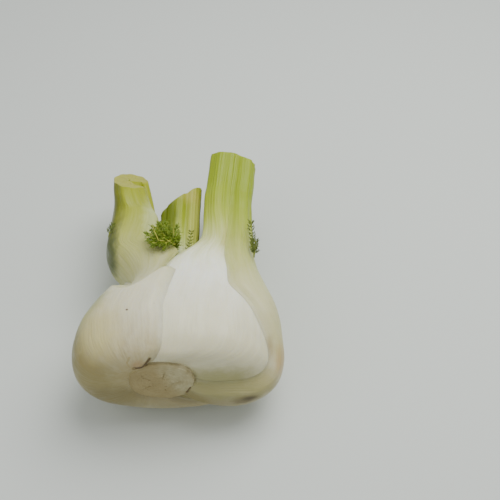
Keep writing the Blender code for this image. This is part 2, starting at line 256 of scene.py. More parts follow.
BULB = (
    (2.6, -6.0, 3.0, 12.9, 10.9, 10.9), (0.6, -5.8, 2.8, 17.4, 13.8, 13.0),
    (0.9, -2.6, 2.0, 26.4, 18.0, 15.0), (3.0, -0.6, 1.0, 34.4, 21.6, 17.4),
    (7.5, 0.3, 0.3, 38.8, 25.0, 20.0), (14.0, 0.4, 0.0, 40.0, 27.0, 22.4),
    (21.0, 0.6, 0.0, 39.2, 27.6, 23.8), (29.0, 1.7, 0.0, 37.2, 27.2, 24.8),
    (37.0, 3.1, 0.0, 34.0, 25.4, 25.3), (45.0, 4.2, 0.0, 30.4, 22.6, 24.6),
    (51.0, 4.2, 0.2, 27.8, 20.2, 22.8),
)
RIGHT_STALK = (
    (57.0, 6.2, 0.6, 23.2, 18.2, 20.2), (63.5, 10.3, 1.0, 17.6, 16.0, 17.0),
    (71.0, 14.4, 1.6, 12.8, 13.6, 13.4), (80.0, 16.15, 2.6, 10.45, 11.2, 10.8),
    (92.0, 16.75, 4.2, 9.85, 9.8, 9.5), (104.0, 17.2, 6.0, 9.6, 9.2, 9.0),
    (117.0, 18.25, 8.3, 9.55, 9.1, 8.9), (130.0, 19.3, 10.9, 9.3, 9.2, 9.0),
)
LEFT_STALK = (
    (57.0, -0.1, 0.6, 28.2, 18.4, 20.4), (63.5, -10.0, 1.0, 24.4, 16.4, 17.4),
    (70.0, -20.0, 1.6, 16.8, 13.8, 13.8), (77.0, -24.7, 2.4, 12.5, 11.6, 11.4),
    (88.0, -24.8, 3.8, 11.9, 10.6, 10.4), (101.0, -26.5, 5.8, 9.8, 9.6, 9.4),
    (117.6, -29.6, 8.8, 8.3, 8.4, 8.2),
)
HEART = Face((
    (9.5, -4.0, 1.0, 14.0, 9.0, 8.0), (10.6, -2.5, 0.6, 24.0, 15.2, 11.6),
    (14.5, 0.2, 0.2, 31.4, 19.0, 14.8), (21.0, 0.6, 0.0, 31.4, 20.0, 16.6),
    (29.0, 1.7, 0.0, 29.4, 19.6, 17.2), (37.0, 3.1, 0.0, 26.0, 17.8, 17.6),
    (45.0, 4.2, 0.0, 22.2, 15.0, 16.6), (51.0, 3.8, 0.2, 19.4, 12.4, 14.6),
    (57.0, 1.6, 0.6, 15.8, 10.4, 12.0),
    (63.5, -1.2, 1.2, 12.6, 8.8, 9.0), (71.0, -2.4, 2.2, 9.6, 8.4, 8.2), (80.0, -2.9, 3.6, 9.4, 8.2, 8.0),
    (102.8, -2.9, 6.7, 9.4, 7.6, 7.4),
))
PLATE = Face((
    (-1.0, -6.0, 3.0, 9.8, 8.0, 8.0), (-0.4, -6.0, 3.0, 10.7, 8.9, 8.9), (1.6, -6.0, 3.0, 10.9, 9.0, 9.0),
    (4.6, -6.0, 3.0, 10.9, 9.0, 9.0), (7.6, -6.0, 3.0, 7.6, 5.8, 5.8),
))
RIGHT_FACE = Face(BULB + RIGHT_STALK)
LEFT_FACE = Face(BULB + LEFT_STALK)


# Shader nodes


class Wire:
    """A value that runs from one node to the next, with the sums that can be done on it."""

    def __init__(self, bench: "Bench", socket: bpy.types.NodeSocket) -> None:
        """Takes the socket that it comes out of, and the bench for the nodes that follow."""
        self.bench = bench
        self.socket = socket

    def __add__(self, other: object) -> "Wire":
        """The sum."""
        return self.bench.math("ADD", self, other)

    def __sub__(self, other: object) -> "Wire":
        """The difference."""
        return self.bench.math("SUBTRACT", self, other)

    def __mul__(self, other: object) -> "Wire":
        """The product."""
        return self.bench.math("MULTIPLY", self, other)


class Bench:
    """Places and links the nodes of one material or group."""

    def __init__(self, tree: bpy.types.NodeTree) -> None:
        """Takes the tree to work on."""
        self.tree = tree

    def put(self, socket: bpy.types.NodeSocket, value: object) -> None:
        """Links an input to a wire, or sets it to a plain value."""
        if isinstance(value, Wire):
            self.tree.links.new(value.socket, socket)
        elif isinstance(value, tuple) and socket.type == "RGBA":
            socket.default_value = (*value, 1.0)
        else:
            socket.default_value = value

    def add(self, kind: str, *values: object, **settings: object) -> bpy.types.Node:
        """Adds a node of a kind, sets its options and fills its inputs in order."""
        node = self.tree.nodes.new("ShaderNode" + kind)
        for name, value in settings.items():
            setattr(node, name, value)
        for socket, value in zip(node.inputs, values):
            self.put(socket, value)
        return node

    def fill(self, node: bpy.types.Node, **values: object) -> bpy.types.Node:
        """Fills a node's inputs by name, with an underscore for each space."""
        for name, value in values.items():
            self.put(node.inputs[name.replace("_", " ")], value)
        return node

    def wire(self, node: bpy.types.Node, output: int | str = 0) -> Wire:
        """What comes out of a node."""
        return Wire(self, node.outputs[output])

    def math(self, operation: str, *values: object, clamp: bool = False) -> Wire:
        """A Math node's result."""
        return self.wire(self.add("Math", *values, operation=operation, use_clamp=clamp))

    def vector(self, operation: str, *values: object) -> Wire:
        """A Vector Math node's vector."""
        return self.wire(self.add("VectorMath", *values, operation=operation))

    def number(self, operation: str, *values: object) -> Wire:
        """A Vector Math node's number."""
        return self.wire(self.add("VectorMath", *values, operation=operation), "Value")

    def scaled(self, vector: Wire, factor: object) -> Wire:
        """A vector times a number."""
        return self.wire(self.fill(self.add("VectorMath", vector, operation="SCALE"), Scale=factor))

    def parts(self, vector: Wire) -> list[Wire]:
        """The three numbers of a vector."""
        node = self.add("SeparateXYZ", vector)
        return [self.wire(node, axis) for axis in "XYZ"]

    def mark(self, name: str) -> Wire:
        """A number that the mesh holds at each point."""
        return self.wire(self.add("Attribute", attribute_name=name), "Fac")

    def blend(self, share: object, first: object, second: object, mode: str = "MIX") -> Wire:
        """Mixes two colours.

        Args:
            share: how much of the second, a wire or a number.
            first: the colour below.
            second: the colour on top.
            mode: Blender's blend type.

        Returns:
            The mixed colour.
        """
        node = self.add("Mix", share, data_type="RGBA", blend_type=mode, clamp_factor=True)
        for socket, colour in zip(MIX_COLOURS, (first, second)):
            self.put(node.inputs[socket], colour)
        return self.wire(node, MIX_RESULT)

    def ramp(self, value: Wire, stops: Sequence[tuple[float, Colour]]) -> Wire:
        """A smooth colour ramp through the given stops."""
        node = self.add("ValToRGB", value)
        keys = node.color_ramp.elements
        while len(keys) < len(stops):
            keys.new(0.5)
        for key, (place, colour) in zip(keys, stops):
            key.position = place
            key.color = (*colour, 1.0)
        node.color_ramp.interpolation = "B_SPLINE"
        return self.wire(node)

    def spread(self, value: object, low: object, high: object, to_low: float = 0.0, to_high: float = 1.0,
               kind: str = "SMOOTHSTEP") -> Wire:
        """Maps a range of values on to another, clamped."""
        return self.wire(self.add("MapRange", value, low, high, to_low, to_high, interpolation_type=kind))

    def noise(self, place: Wire, scale: object, detail: float = 2.0, roughness: float = 0.5,
              output: str = "Fac") -> Wire:
        """A noise value, or its colour."""
        node = self.fill(self.add("TexNoise"), Vector=place, Scale=scale, Detail=detail, Roughness=roughness)
        return self.wire(node, output)

    def sway(self, place: Wire, scale: float, detail: float, reach: object) -> Wire:
        """A small uneven shift that differs from place to place."""
        noise = self.noise(place, scale, detail, output="Color")
        return self.scaled(self.vector("SUBTRACT", noise, (0.5, 0.5, 0.5)), reach)

    def shared(self, group: bpy.types.NodeTree, **values: object) -> Wire:
        """Places a node group with its own values and returns its one output."""
        return self.wire(self.fill(self.add("Group", node_tree=group), **values))

    def result(self, value: Wire) -> bpy.types.NodeTree:
        """Gives a group its one output and returns the group."""
        self.tree.interface.new_socket("Result", in_out="OUTPUT", socket_type="NodeSocketFloat")
        self.put(self.tree.nodes.new("NodeGroupOutput").inputs[0], value)
        return self.tree

    def surface(self, height: Wire, strength: float, depth: float, **values: object) -> None:
        """Fills the shader's inputs and gives it relief.

        Args:
            height: the relief.
            strength: how strongly it shows.
            depth: how deep it is, in metres.
            values: what goes into the other inputs, by name.
        """
        bump = self.fill(self.add("Bump"), Strength=strength, Distance=depth, Height=height)
        self.fill(self.tree.nodes["Principled BSDF"], Normal=self.wire(bump), **values)


class Effects:
    """The shader groups that several finishes share."""

    def __init__(self) -> None:
        """Builds each group once."""
        self.veins = self._veins()
        self.stain_or_shading = self._stain_or_shading()
        self.scratch = self._scratch()
        self.grain = self._grain()
        self.mottle = self._mottle()

    @staticmethod
    def _group(name: str, vectors: Sequence[str], numbers: Sequence[str]) -> tuple[Bench, list[Wire]]:
        """Starts a group.

        Args:
            name: the group's name.
            vectors: the names of its inputs that are vectors.
            numbers: the names of its inputs that are numbers.

        Returns:
            The bench, and a wire from each input in order.
        """
        bench = Bench(bpy.data.node_groups.new(name, "ShaderNodeTree"))
        for kind, titles in (("Vector", vectors), ("Float", numbers)):
            for title in titles:
                bench.tree.interface.new_socket(title, in_out="INPUT", socket_type="NodeSocket" + kind)
        node = bench.tree.nodes.new("NodeGroupInput")
        return bench, [bench.wire(node, title) for title in (*vectors, *numbers)]

    def _veins(self) -> bpy.types.NodeTree:
        """Fine parallel veins that run along a leaf, as a mask."""
        bench, (leaf, count, wander) = self._group("parallel_veins", ["Leaf"], ["Count", "Wander"])
        sway = bench.sway(bench.vector("MULTIPLY", leaf, (2.0, 3.0, 1.0)), 1.0, 2.0, wander)
        across, along, _ = bench.parts(bench.vector("ADD", leaf, sway))
        drawn = bench.wire(bench.add("CombineXYZ", across * count, along * VEIN_LENGTHS))
        return bench.result(bench.spread(bench.noise(drawn, 1.0, 3.0, 0.55), 0.36, 0.66))

    def _stain_or_shading(self) -> bpy.types.NodeTree:
        """One soft-edged, ragged patch about a spot, as a mask, for real marks and for painted shade and
        light.
        """
        bench, (place, centre, reach, ragged, inner) = self._group(
            "soft_stain_or_shading", ["Place", "Centre", "Reach"], ["Ragged", "Inner"])
        away = bench.vector("DIVIDE", bench.vector("SUBTRACT", place, centre), reach)
        rough = bench.noise(place, STAIN_OR_SHADING_NOISE, 4.0, 0.6)
        far = bench.number("LENGTH", away) + (rough - 0.5) * ragged * 2.0
        return bench.result(bench.spread(far, inner, 1.0, 1.0, 0.0))

    def _scratch(self) -> bpy.types.NodeTree:
        """A thin wavering line from one spot to another, as a mask."""
        bench, (place, start, stop, width) = self._group(
            "thin_scratch", ["Place", "Start", "Stop"], ["Width"])
        place = bench.vector("ADD", place, bench.sway(place, FLESH_NOISE, 3.0, SCRATCH_WAVER))
        from_start, whole = bench.vector("SUBTRACT", place, start), bench.vector("SUBTRACT", stop, start)
        dots = [bench.number("DOT_PRODUCT", one, whole) for one in (from_start, whole)]
        foot = bench.scaled(whole, bench.math("DIVIDE", *dots, clamp=True))
        off = bench.number("LENGTH", bench.vector("SUBTRACT", from_start, foot))
        return bench.result(bench.spread(off, width * SCRATCH_CORE, width, 1.0, 0.0))

    def _grain(self) -> bpy.types.NodeTree:
        """The fine relief of a waxy skin, from pores up to faint waves."""
        bench, (place, fine) = self._group("skin_grain", ["Place"], ["Fine"])
        return bench.result(bench.noise(place, PORE_NOISE, 2.0) * fine + bench.noise(place, WAVE_NOISE, 3.0))

    def _mottle(self) -> bpy.types.NodeTree:
        """Large uneven patches, as a mask."""
        bench, (place, scale, low, high) = self._group("mottle", ["Place"], ["Scale", "Low", "High"])
        return bench.result(bench.spread(bench.noise(place, scale, 4.0, 0.55), low, high))


# Finishes


def metres(spot: Spot) -> Spot:
    """Takes a spot or a reach from mm to metres."""
    return tuple(value * MM for value in spot)


@dataclass(frozen=True)
class StainOrShading:
    """A patch of another colour on a leaf, for real marks and for painted shade and light: where it is, how
    far it reaches and how strong it is.
    """

    centre: Spot
    reach: Spot
    colour: Colour
    strength: float
    ragged: float
    inner: float


@dataclass(frozen=True)
class Scratch:
    """A thin mark on a leaf, through spots in mm."""

    spots: tuple[Spot, ...]
    width: float
    colour: Colour
    strength: float
    deep: float


@dataclass(frozen=True)
class Finish:
    """A named finish, which builds its own material."""

    name: str

    def material(self, effects: Effects) -> bpy.types.Material:
        """Builds the material.

        Args:
            effects: the shared shader groups.

        Returns:
            The material.
        """
        made = bpy.data.materials.new(self.name)
        made.use_nodes = True
        bench = Bench(made.node_tree)
        self.paint(bench, bench.wire(bench.add("TexCoord"), "Object"), effects)
        return made

    def paint(self, bench: Bench, place: Wire, effects: Effects) -> None:
        """Places the material's nodes.

        Args:
            bench: where they go.
            place: the place on the object, in metres.
            effects: the shared shader groups.
        """
        raise NotImplementedError


@dataclass(frozen=True)
class LeafFinish(Finish):
    """Waxy leaf skin: its colours along the bulb, from low to high in mm, and the marks on it, painted shade
    and light among them.
    """

    stops: tuple[tuple[float, Colour], ...]
    vein: Colour
    rim: Colour
    flesh: Colour
    stains_and_shading: tuple[StainOrShading, ...] = ()
    scratches: tuple[Scratch, ...] = ()
    vein_share: float = 0.35
    low: float = -40.0
    high: float = 100.0

    def paint(self, bench: Bench, place: Wire, effects: Effects) -> None:
        """Lays the skin, its marks, its free edges and its cut face over each other."""
        leaf = bench.wire(bench.add("UVMap", uv_map="leaf"))
        along = bench.parts(place)[1]
        in_stalk = bench.spread(along, *STALK_REACH)
        veins, broad = (bench.shared(effects.veins, Leaf=leaf, Count=count, Wander=wander)
                        for count, wander in (FINE_VEINS, BROAD_VEINS))
        at = bench.spread(along, self.low * MM, self.high * MM, kind="LINEAR")
        colour = bench.ramp(at + (broad - 0.5) * BROAD_SHIFT + (veins - 0.5) * FINE_SHIFT, self.stops)
        shown = veins * bench.spread(in_stalk, 0.0, 1.0, SHEATH_VEINS, self.vein_share)
        colour = bench.blend(shown, colour, self.vein, "MULTIPLY")
        patches = bench.shared(effects.mottle, Place=place, Scale=70.0, Low=0.42, High=0.72)
        colour = bench.blend(patches * 0.16, colour, AGED, "MULTIPLY")
        colour, hurt = self._marked(bench, place, effects, colour)
        edge = bench.mark("edge") * bench.spread(bench.noise(place, 300.0, 3.0), 0.3, 0.65, 0.35, 1.0)
        edge = edge * bench.spread(in_stalk, 0.1, 0.9, 0.6, 0.08) * bench.spread(along, *ROOT_FADE, 0.1, 1.0)
        colour = bench.blend(edge, colour, self.rim)
        cut = bench.mark("cut")
        flesh, dots = self._flesh(bench, place)
        grain = bench.shared(effects.grain, Place=place, Fine=0.35)
        dull = bench.spread(grain, 0.4, 1.0, *WAX_ROUGHNESS) + bench.math("MAXIMUM", cut, hurt) * 0.25
        height = veins * 0.55 + broad * 0.9 + grain * 0.35 - hurt * 3.0 - dots * cut * 0.8
        colour = bench.blend(cut, colour, flesh)
        bench.surface(height, 0.55, SKIN_DEPTH, Base_Color=colour, Roughness=dull, **WAX)

    def _marked(self, bench: Bench, place: Wire, effects: Effects, colour: Wire) -> tuple[Wire, object]:
        """Lays the real marks, the painted shade and light, and the scratches over the skin.

        Args:
            bench: where the nodes go.
            place: the place on the object, in metres.
            effects: the shared shader groups.
            colour: the skin's own colour.

        Returns:
            The colour with its marks, and how deep the scratches go.
        """
        hurt: object = 0.0
        for mark in self.stains_and_shading:
            mask = bench.shared(effects.stain_or_shading, Place=place, Centre=metres(mark.centre),
                                Reach=metres(mark.reach), Ragged=mark.ragged, Inner=mark.inner)
            colour = bench.blend(mask * mark.strength, colour, mark.colour)
        for mark in self.scratches:
            for start, stop in zip(mark.spots, mark.spots[1:]):
                mask = bench.shared(effects.scratch, Place=place, Start=metres(start), Stop=metres(stop),
                                    Width=mark.width * MM) * mark.strength
                colour = bench.blend(mask, colour, mark.colour)
                hurt = bench.math("MAXIMUM", hurt, mask * mark.deep)
        return colour, hurt

    def _flesh(self, bench: Bench, place: Wire) -> tuple[Wire, Wire]:
        """The colour of a cut face, and the dots where its strands end.

        Args:
            bench: where the nodes go.
            place: the place on the object, in metres.

        Returns:
            The colour and the dots.
        """
        strands = bench.add("TexVoronoi", voronoi_dimensions="3D")
        bench.fill(strands, Vector=bench.vector("MULTIPLY", place, (1.0, 0.12, 1.0)), Scale=STRAND_NOISE)
        dots = bench.spread(bench.wire(strands, "Distance"), 0.16, 0.30, 1.0, 0.0)
        dark, light = (tuple(factor * value for value in self.flesh) for factor in (0.55, 1.3))
        clouds = bench.spread(bench.noise(place, FLESH_NOISE, 4.0), 0.45, 0.75, 0.0, 0.5)
        return bench.blend(clouds, bench.blend(dots * 0.55, self.flesh, dark), light), dots


@dataclass(frozen=True)
class CorkFinish(Finish):
    """Dry, cracked tissue of a trimmed root plate, with rings about its middle."""

    name: str = "trimmed_root_cork"
    pale: Colour = (0.47, 0.43, 0.25)
    dark: Colour = (0.31, 0.245, 0.11)
    flesh: Colour = (0.37, 0.30, 0.145)
    # painted light: a pale tan for the side wall, which the crevice against the sheaths shades
    side: Colour = (0.66, 0.58, 0.36)

    def paint(self, bench: Bench, place: Wire, effects: Effects) -> None:
        """Lays rings and dark patches on the face, which is paler on the right, and a paler side wall as
        painted light against the crevice's shade.
        """
        centred = bench.vector("SUBTRACT", place, PLATE_MIDDLE)
        far = bench.number("LENGTH", bench.vector("MULTIPLY", centred, (1.0, 0.0, 1.2)))
        uneven = bench.noise(place, 330.0, 5.0, 0.65)
        rings = bench.math("SINE", (far + uneven * 0.0022) * RING_PACE)
        patches = bench.shared(effects.mottle, Place=place, Scale=190.0, Low=0.36, High=0.62)
        shift = bench.vector("MULTIPLY", bench.noise(place, 160.0, 3.0, output="Color"), (0.008, 0.0, 0.008))
        across, along, up = bench.parts(bench.vector("ADD", place, shift))
        colour = bench.blend(bench.spread(across + up * 0.35, 0.0105, 0.0185), self.flesh, self.pale)
        colour = bench.blend(patches * 0.5, colour, self.dark)
        colour = bench.blend(bench.spread(rings, 0.2, 1.0, 0.0, 0.16), colour, self.dark)
        # painted light: the side wall turns paler, against the shade of the crevice there
        colour = bench.blend(bench.spread(along, -0.0365, -0.0340), colour, self.side)
        bench.surface(uneven * 1.6 + rings * 0.12, 0.8, CORK_DEPTH, Base_Color=colour,
                      Roughness=bench.spread(uneven, 0.3, 0.7, 0.62, 0.9), Specular_IOR_Level=0.3)


@dataclass(frozen=True)
class FrondFinish(Finish):
    """Matte feathery green, with paler tips and stems."""

    dark: Colour
    light: Colour
    stem: Colour

    def paint(self, bench: Bench, place: Wire, effects: Effects) -> None:
        """Lays the paler tips and stems over an uneven green."""
        patches = bench.shared(effects.mottle, Place=place, Scale=420.0, Low=0.35, High=0.65)
        colour = bench.blend(patches, self.dark, self.light)
        colour = bench.blend(bench.mark("tip") * 0.45, colour, self.light)
        colour = bench.blend(bench.mark("stem"), colour, self.stem)
        grain = bench.shared(effects.grain, Place=place, Fine=0.6)
        bench.surface(grain, 0.4, FROND_DEPTH, Base_Color=colour,
                      Roughness=bench.spread(grain, 0.5, 1.1, 0.42, 0.66), **FEATHERY)


# Meshes

MERGED = 0.000002             # metres between points that become one
SHARP = math.radians(42)      # the least angle between faces that stays an edge
MARGIN = 5.0                  # mm from a free edge over which a leaf thins
LOOKS = 1500                  # places at which a midrib is measured
ROOT_CROWDING = 0.55          # share by which rows are closer at the root
ROOT_REACH = 22.0             # mm along the midrib over which that fades
SIDE_BULGE = 0.42             # how far a side edge is rounded out, as a share of its thickness
RIM_BULGE = 0.45
ROOT_BULGE = 0.2
LIP = 0.22                    # mm that a knife cut's rim stands out
SUNK = 0.5                    # mm that its middle has dried in
ROUGH = 0.10                  # mm of unevenness on it
RIND = 0.12                   # share of the slab, from the skin in, that isn't cut flesh


def deselect() -> None:
    """Leaves nothing selected."""
    if bpy.context.object and bpy.context.object.mode != "OBJECT":
        bpy.ops.object.mode_set(mode="OBJECT")
    bpy.ops.object.select_all(action="DESELECT")


@dataclass
class Sheet:
    """A flat grid, as it comes from the primitive, with the column, row and layer of every point."""

    name: str
    columns: int
    rows: int
    layers: int = 0
    made: bpy.types.Object = field(init=False)
    column: np.ndarray = field(init=False)
    row: np.ndarray = field(init=False)
    layer: np.ndarray = field(init=False)

    def __post_init__(self) -> None:
        """Adds the grid and extrudes it into a slab with that many layers of walls."""
        deselect()
        bpy.ops.mesh.primitive_grid_add(x_subdivisions=self.columns, y_subdivisions=self.rows, size=1.0)
        self.made = bpy.context.object
        self.made.name = self.made.data.name = self.name
        bpy.ops.object.mode_set(mode="EDIT")
        bpy.ops.mesh.select_all(action="SELECT")
        for _ in range(self.layers):
            bpy.ops.mesh.extrude_region_move(TRANSFORM_OT_translate={"value": (0, 0, 1)})
        bpy.ops.object.mode_set(mode="OBJECT")
        flat = np.empty(len(self.made.data.vertices) * 3)
        self.made.data.vertices.foreach_get("co", flat)
        flat = flat.reshape(-1, 3)
        self.column = np.rint((flat[:, 0] + 0.5) * self.columns).astype(int)
        self.row = np.rint((flat[:, 1] + 0.5) * self.rows).astype(int)
        self.layer = np.rint(flat[:, 2]).astype(int)

    def shape(self, points: np.ndarray, along: np.ndarray) -> bpy.types.Object:
        """Moves the points to their places, unwraps, merges seams and turns the faces outwards.

        Args:
            points: where every point goes, in mm.
            along: how far along the piece every point is, from 0 to 1.

        Returns:
            The finished mesh object.
        """
        mesh = self.made.data
        mesh.vertices.foreach_set("co", np.asarray(placed(points), np.float32).ravel())
        uv = np.stack([self.column / self.columns, along], -1)
        while mesh.uv_layers:
            mesh.uv_layers.remove(mesh.uv_layers[0])
        laid = mesh.uv_layers.new(name="leaf")
        corner = np.empty(len(mesh.loops), np.int32)
        mesh.loops.foreach_get("vertex_index", corner)
        laid.uv.foreach_set("vector", np.asarray(uv[corner], np.float32).ravel())
        bpy.ops.object.mode_set(mode="EDIT")
        bpy.ops.mesh.select_all(action="SELECT")
        bpy.ops.mesh.remove_doubles(threshold=MERGED)
        bpy.ops.mesh.select_all(action="SELECT")
        bpy.ops.mesh.normals_make_consistent(inside=False)
        bpy.ops.object.mode_set(mode="OBJECT")
        bpy.ops.object.shade_smooth_by_angle(angle=SHARP)
        mesh.update()
        return self.made


def mark(piece: bpy.types.Object, name: str, values: np.ndarray) -> None:
    """Stores one number per point for the material to read."""
    layer = piece.data.attributes.new(name, "FLOAT", "POINT")
    layer.data.foreach_set("value", np.asarray(values, np.float32))


def dress(piece: bpy.types.Object, node: str, finish: bpy.types.Material) -> None:
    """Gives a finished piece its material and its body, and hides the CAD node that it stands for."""
    piece.data.materials.clear()
    piece.data.materials.append(finish)
    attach(piece, "root")
    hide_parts(node)
    LOG.info("%s: %d faces, stands for %s", piece.name, len(piece.data.polygons), node)


@dataclass
class ClaspingLeaf:
    """One fleshy sheath that clasps the leaves inside it and runs up into its stalk.

    front and back are the angles that it spans from its midrib, in degrees, and middle and edge its thickness
    in mm there, each at every section of its face. start and rim are the sections that it starts and ends at,
    from its back edge over its midrib to its front edge. cut is the slope of its cut end, across and up, ribs
    the height of its broad ribs in mm, and relief the share of the usual height that its fine ribs have.
    """

    name: str
    node: str
    face: Face
    side: Side
    outer: bool
    front: Sequence[float]
    back: Sequence[float]
    middle: Sequence[float]
    edge: Sequence[float]
    rim: Sequence[float]
    finish: LeafFinish
    start: Sequence[float] = (0.0, 0.0)
    cut: tuple[float, float] = (0.0, 0.0)
    ribs: float = 0.5
    end: End = End.KNIFE
    columns: int = 184
    rows: int = 150
    layers: int = 8
    relief: float = 1.0
    fine_ribs: int = 31

    def _stations(self) -> np.ndarray:
        """Rows at about even steps along the midrib, closer near the root."""
        top = max(self.rim)
        fine = np.linspace(0, top, LOOKS)
        line = self.face.spots(fine, np.full(fine.shape, 0.3))
        walked = np.concatenate([[0], np.cumsum(np.linalg.norm(np.diff(line, axis=0), axis=1))])
        pace = 1.0 - ROOT_CROWDING * np.exp(-walked / ROOT_REACH)
        counted = np.concatenate([[0], np.cumsum(np.diff(walked) / pace[1:])])
        return np.interp(np.linspace(0, counted[-1], self.rows + 1), counted, fine)

    def _place(self, share: np.ndarray, row: np.ndarray) -> tuple[np.ndarray, np.ndarray]:
        """The sections and angles of the leaf's grid.

        Args:
            share: how far across the leaf, from 0 to 1.
            row: how far along it, in sections.

        Returns:
            The section and the angle of every grid point.
        """
        first, last = (keyed(ends, share * (len(ends) - 1)) for ends in (self.start, self.rim))
        at = row + first * np.clip(1 - row / END_REACH, 0, 1)
        at = at - (last.max() - last) * np.clip(1 - (last.max() - row) / END_REACH, 0, 1)
        front, back = np.radians(keyed(self.front, at)), np.radians(keyed(self.back, at))
        turn = share * (front + back) - back
        return at, turn if self.side is Side.RIGHT else math.pi - turn

    def _grids(self) -> tuple[np.ndarray, np.ndarray, np.ndarray]:
        """The outer and inner points of the leaf, in mm, and how close each is to a free edge.

        Returns:
            Outer points, inner points and closeness from 0 to 1.
        """
        share = np.linspace(0, 1, self.columns + 1)[None, :]
        row = self._stations()[:, None]
        at, angle = self._place(share, row)
        base, out = self.face.spots(at, angle), self.face.outward(at, angle)
        across = np.linalg.norm(np.diff(base, axis=1), axis=-1).cumsum(1)
        across = np.concatenate([np.zeros((len(base), 1)), across], 1)
        side_gap = np.minimum(across, across[:, -1:] - across)
        rise = np.linalg.norm(np.diff(base, axis=0), axis=-1).cumsum(0)
        rise = np.concatenate([np.zeros((1, base.shape[1])), rise], 0)
        free = side_gap if self.end is End.KNIFE else np.minimum(side_gap, rise[-1:] - rise)
        close = 1 - eased(free, 0.0, MARGIN)

        off_middle = np.abs(2 * share - 1) ** 3
        thick = keyed(self.middle, at) * (1 - off_middle) + keyed(self.edge, at) * off_middle
        above, below = self._ribs(share, row, at, side_gap), -thick
        if self.outer:
            skin = SKIN_GAP + (STALK_GAP - SKIN_GAP) * np.clip((at - 8) / 2, 0, 1)
            skin = skin * (1 - CLOSED * close)
            above, below = skin + thick * (1 - THINNED * close) + above, skin
        bumps, middle = dents(base), self.face.middle(at)
        last = keyed(self.rim, share * (len(self.rim) - 1))
        outer, inner = (base + (lift + bumps)[..., None] * out for lift in (above, below))
        for points in (outer, inner):
            points[..., 1] += slant(points, middle, self.cut) * eased(at - last, -1.9, 0.0)
        return outer, inner, close

    def _ribs(self, share: np.ndarray, row: np.ndarray, at: np.ndarray, side_gap: np.ndarray) -> np.ndarray:
        """The broad ribs, which start where the stalk does, and the fine ones.

        Args:
            share: how far across the leaf, from 0 to 1.
            row: how far along it, in sections.
            at: the section of every grid point.
            side_gap: how far each is from a side edge, in mm.

        Returns:
            Their height in mm.
        """
        broad = self.ribs * np.clip((at - 11) / 3, 0, 1) * crest(2 * math.pi * BROAD_RIBS * share)
        swing = 2 * math.pi * self.fine_ribs * (share + 0.004 * np.sin(6.0 * share + row))
        uneven = 0.6 + 0.4 * np.sin(share * 37.0 + 0.35 * row)
        fine = (0.03 + 0.13 * eased(at, 8.0, 13.0)) * crest(swing) * uneven
        return broad + self.relief * fine * eased(row, 1.5, 5.0) * eased(side_gap, 0.6, 3.0)

    def build(self, effects: Effects) -> bpy.types.Object:
        """Makes the leaf from a slab of faces, with rounded margins and a knife-cut or soft upper end.

        Args:
            effects: the shared shader groups.

        Returns:
            The leaf.
        """
        sheet = Sheet(self.name, self.columns, self.rows, self.layers)
        outer, inner, close = self._grids()
        column, row, part = sheet.column, sheet.row, sheet.layer / self.layers
        top, under = outer[row, column], inner[row, column]
        thick = np.linalg.norm(top - under, axis=-1, keepdims=True)
        arch, down = np.sin(math.pi * part)[:, None], ((1 - np.cos(math.pi * part)) / 2)[:, None]
        knife, bulge = self.end is End.KNIFE, arch * thick
        at_top, at_root = row == self.rows, row == 0
        at_side = ((column == 0) | (column == self.columns)) & ~(at_top | at_root)
        sideways = unit(top - outer[row, np.clip(column, 1, self.columns - 1)] + 1e-9)
        endways = unit(top - outer[np.clip(row, 1, self.rows - 1), column] + 1e-9)
        spots = top + (under - top) * down
        spots = np.where(at_side[:, None], spots + SIDE_BULGE * bulge * sideways, spots)
        past = RIM_BULGE * bulge
        if knife:
            lip = (1 - np.abs(2 * down - 1) ** 6) * LIP
            sunk = SUNK * arch ** 2 * eased(thick, 1.0, 5.0)
            past = lip - sunk + ROUGH * ripple(spots, 2.2, 21)[:, None] * arch
        spots = np.where(at_top[:, None], spots + past * endways, spots)
        spots = np.where(at_root[:, None], spots + ROOT_BULGE * bulge * endways, spots)
        mark(sheet.made, "cut", at_top & (part > RIND) & (part < 1) & knife)
        mark(sheet.made, "edge", np.where(part < 1, close[row, column] ** 6, 0.0))
        leaf = sheet.shape(spots, (self._stations() / max(self.rim))[row])
        dress(leaf, self.node, self.finish.material(effects))
        return leaf


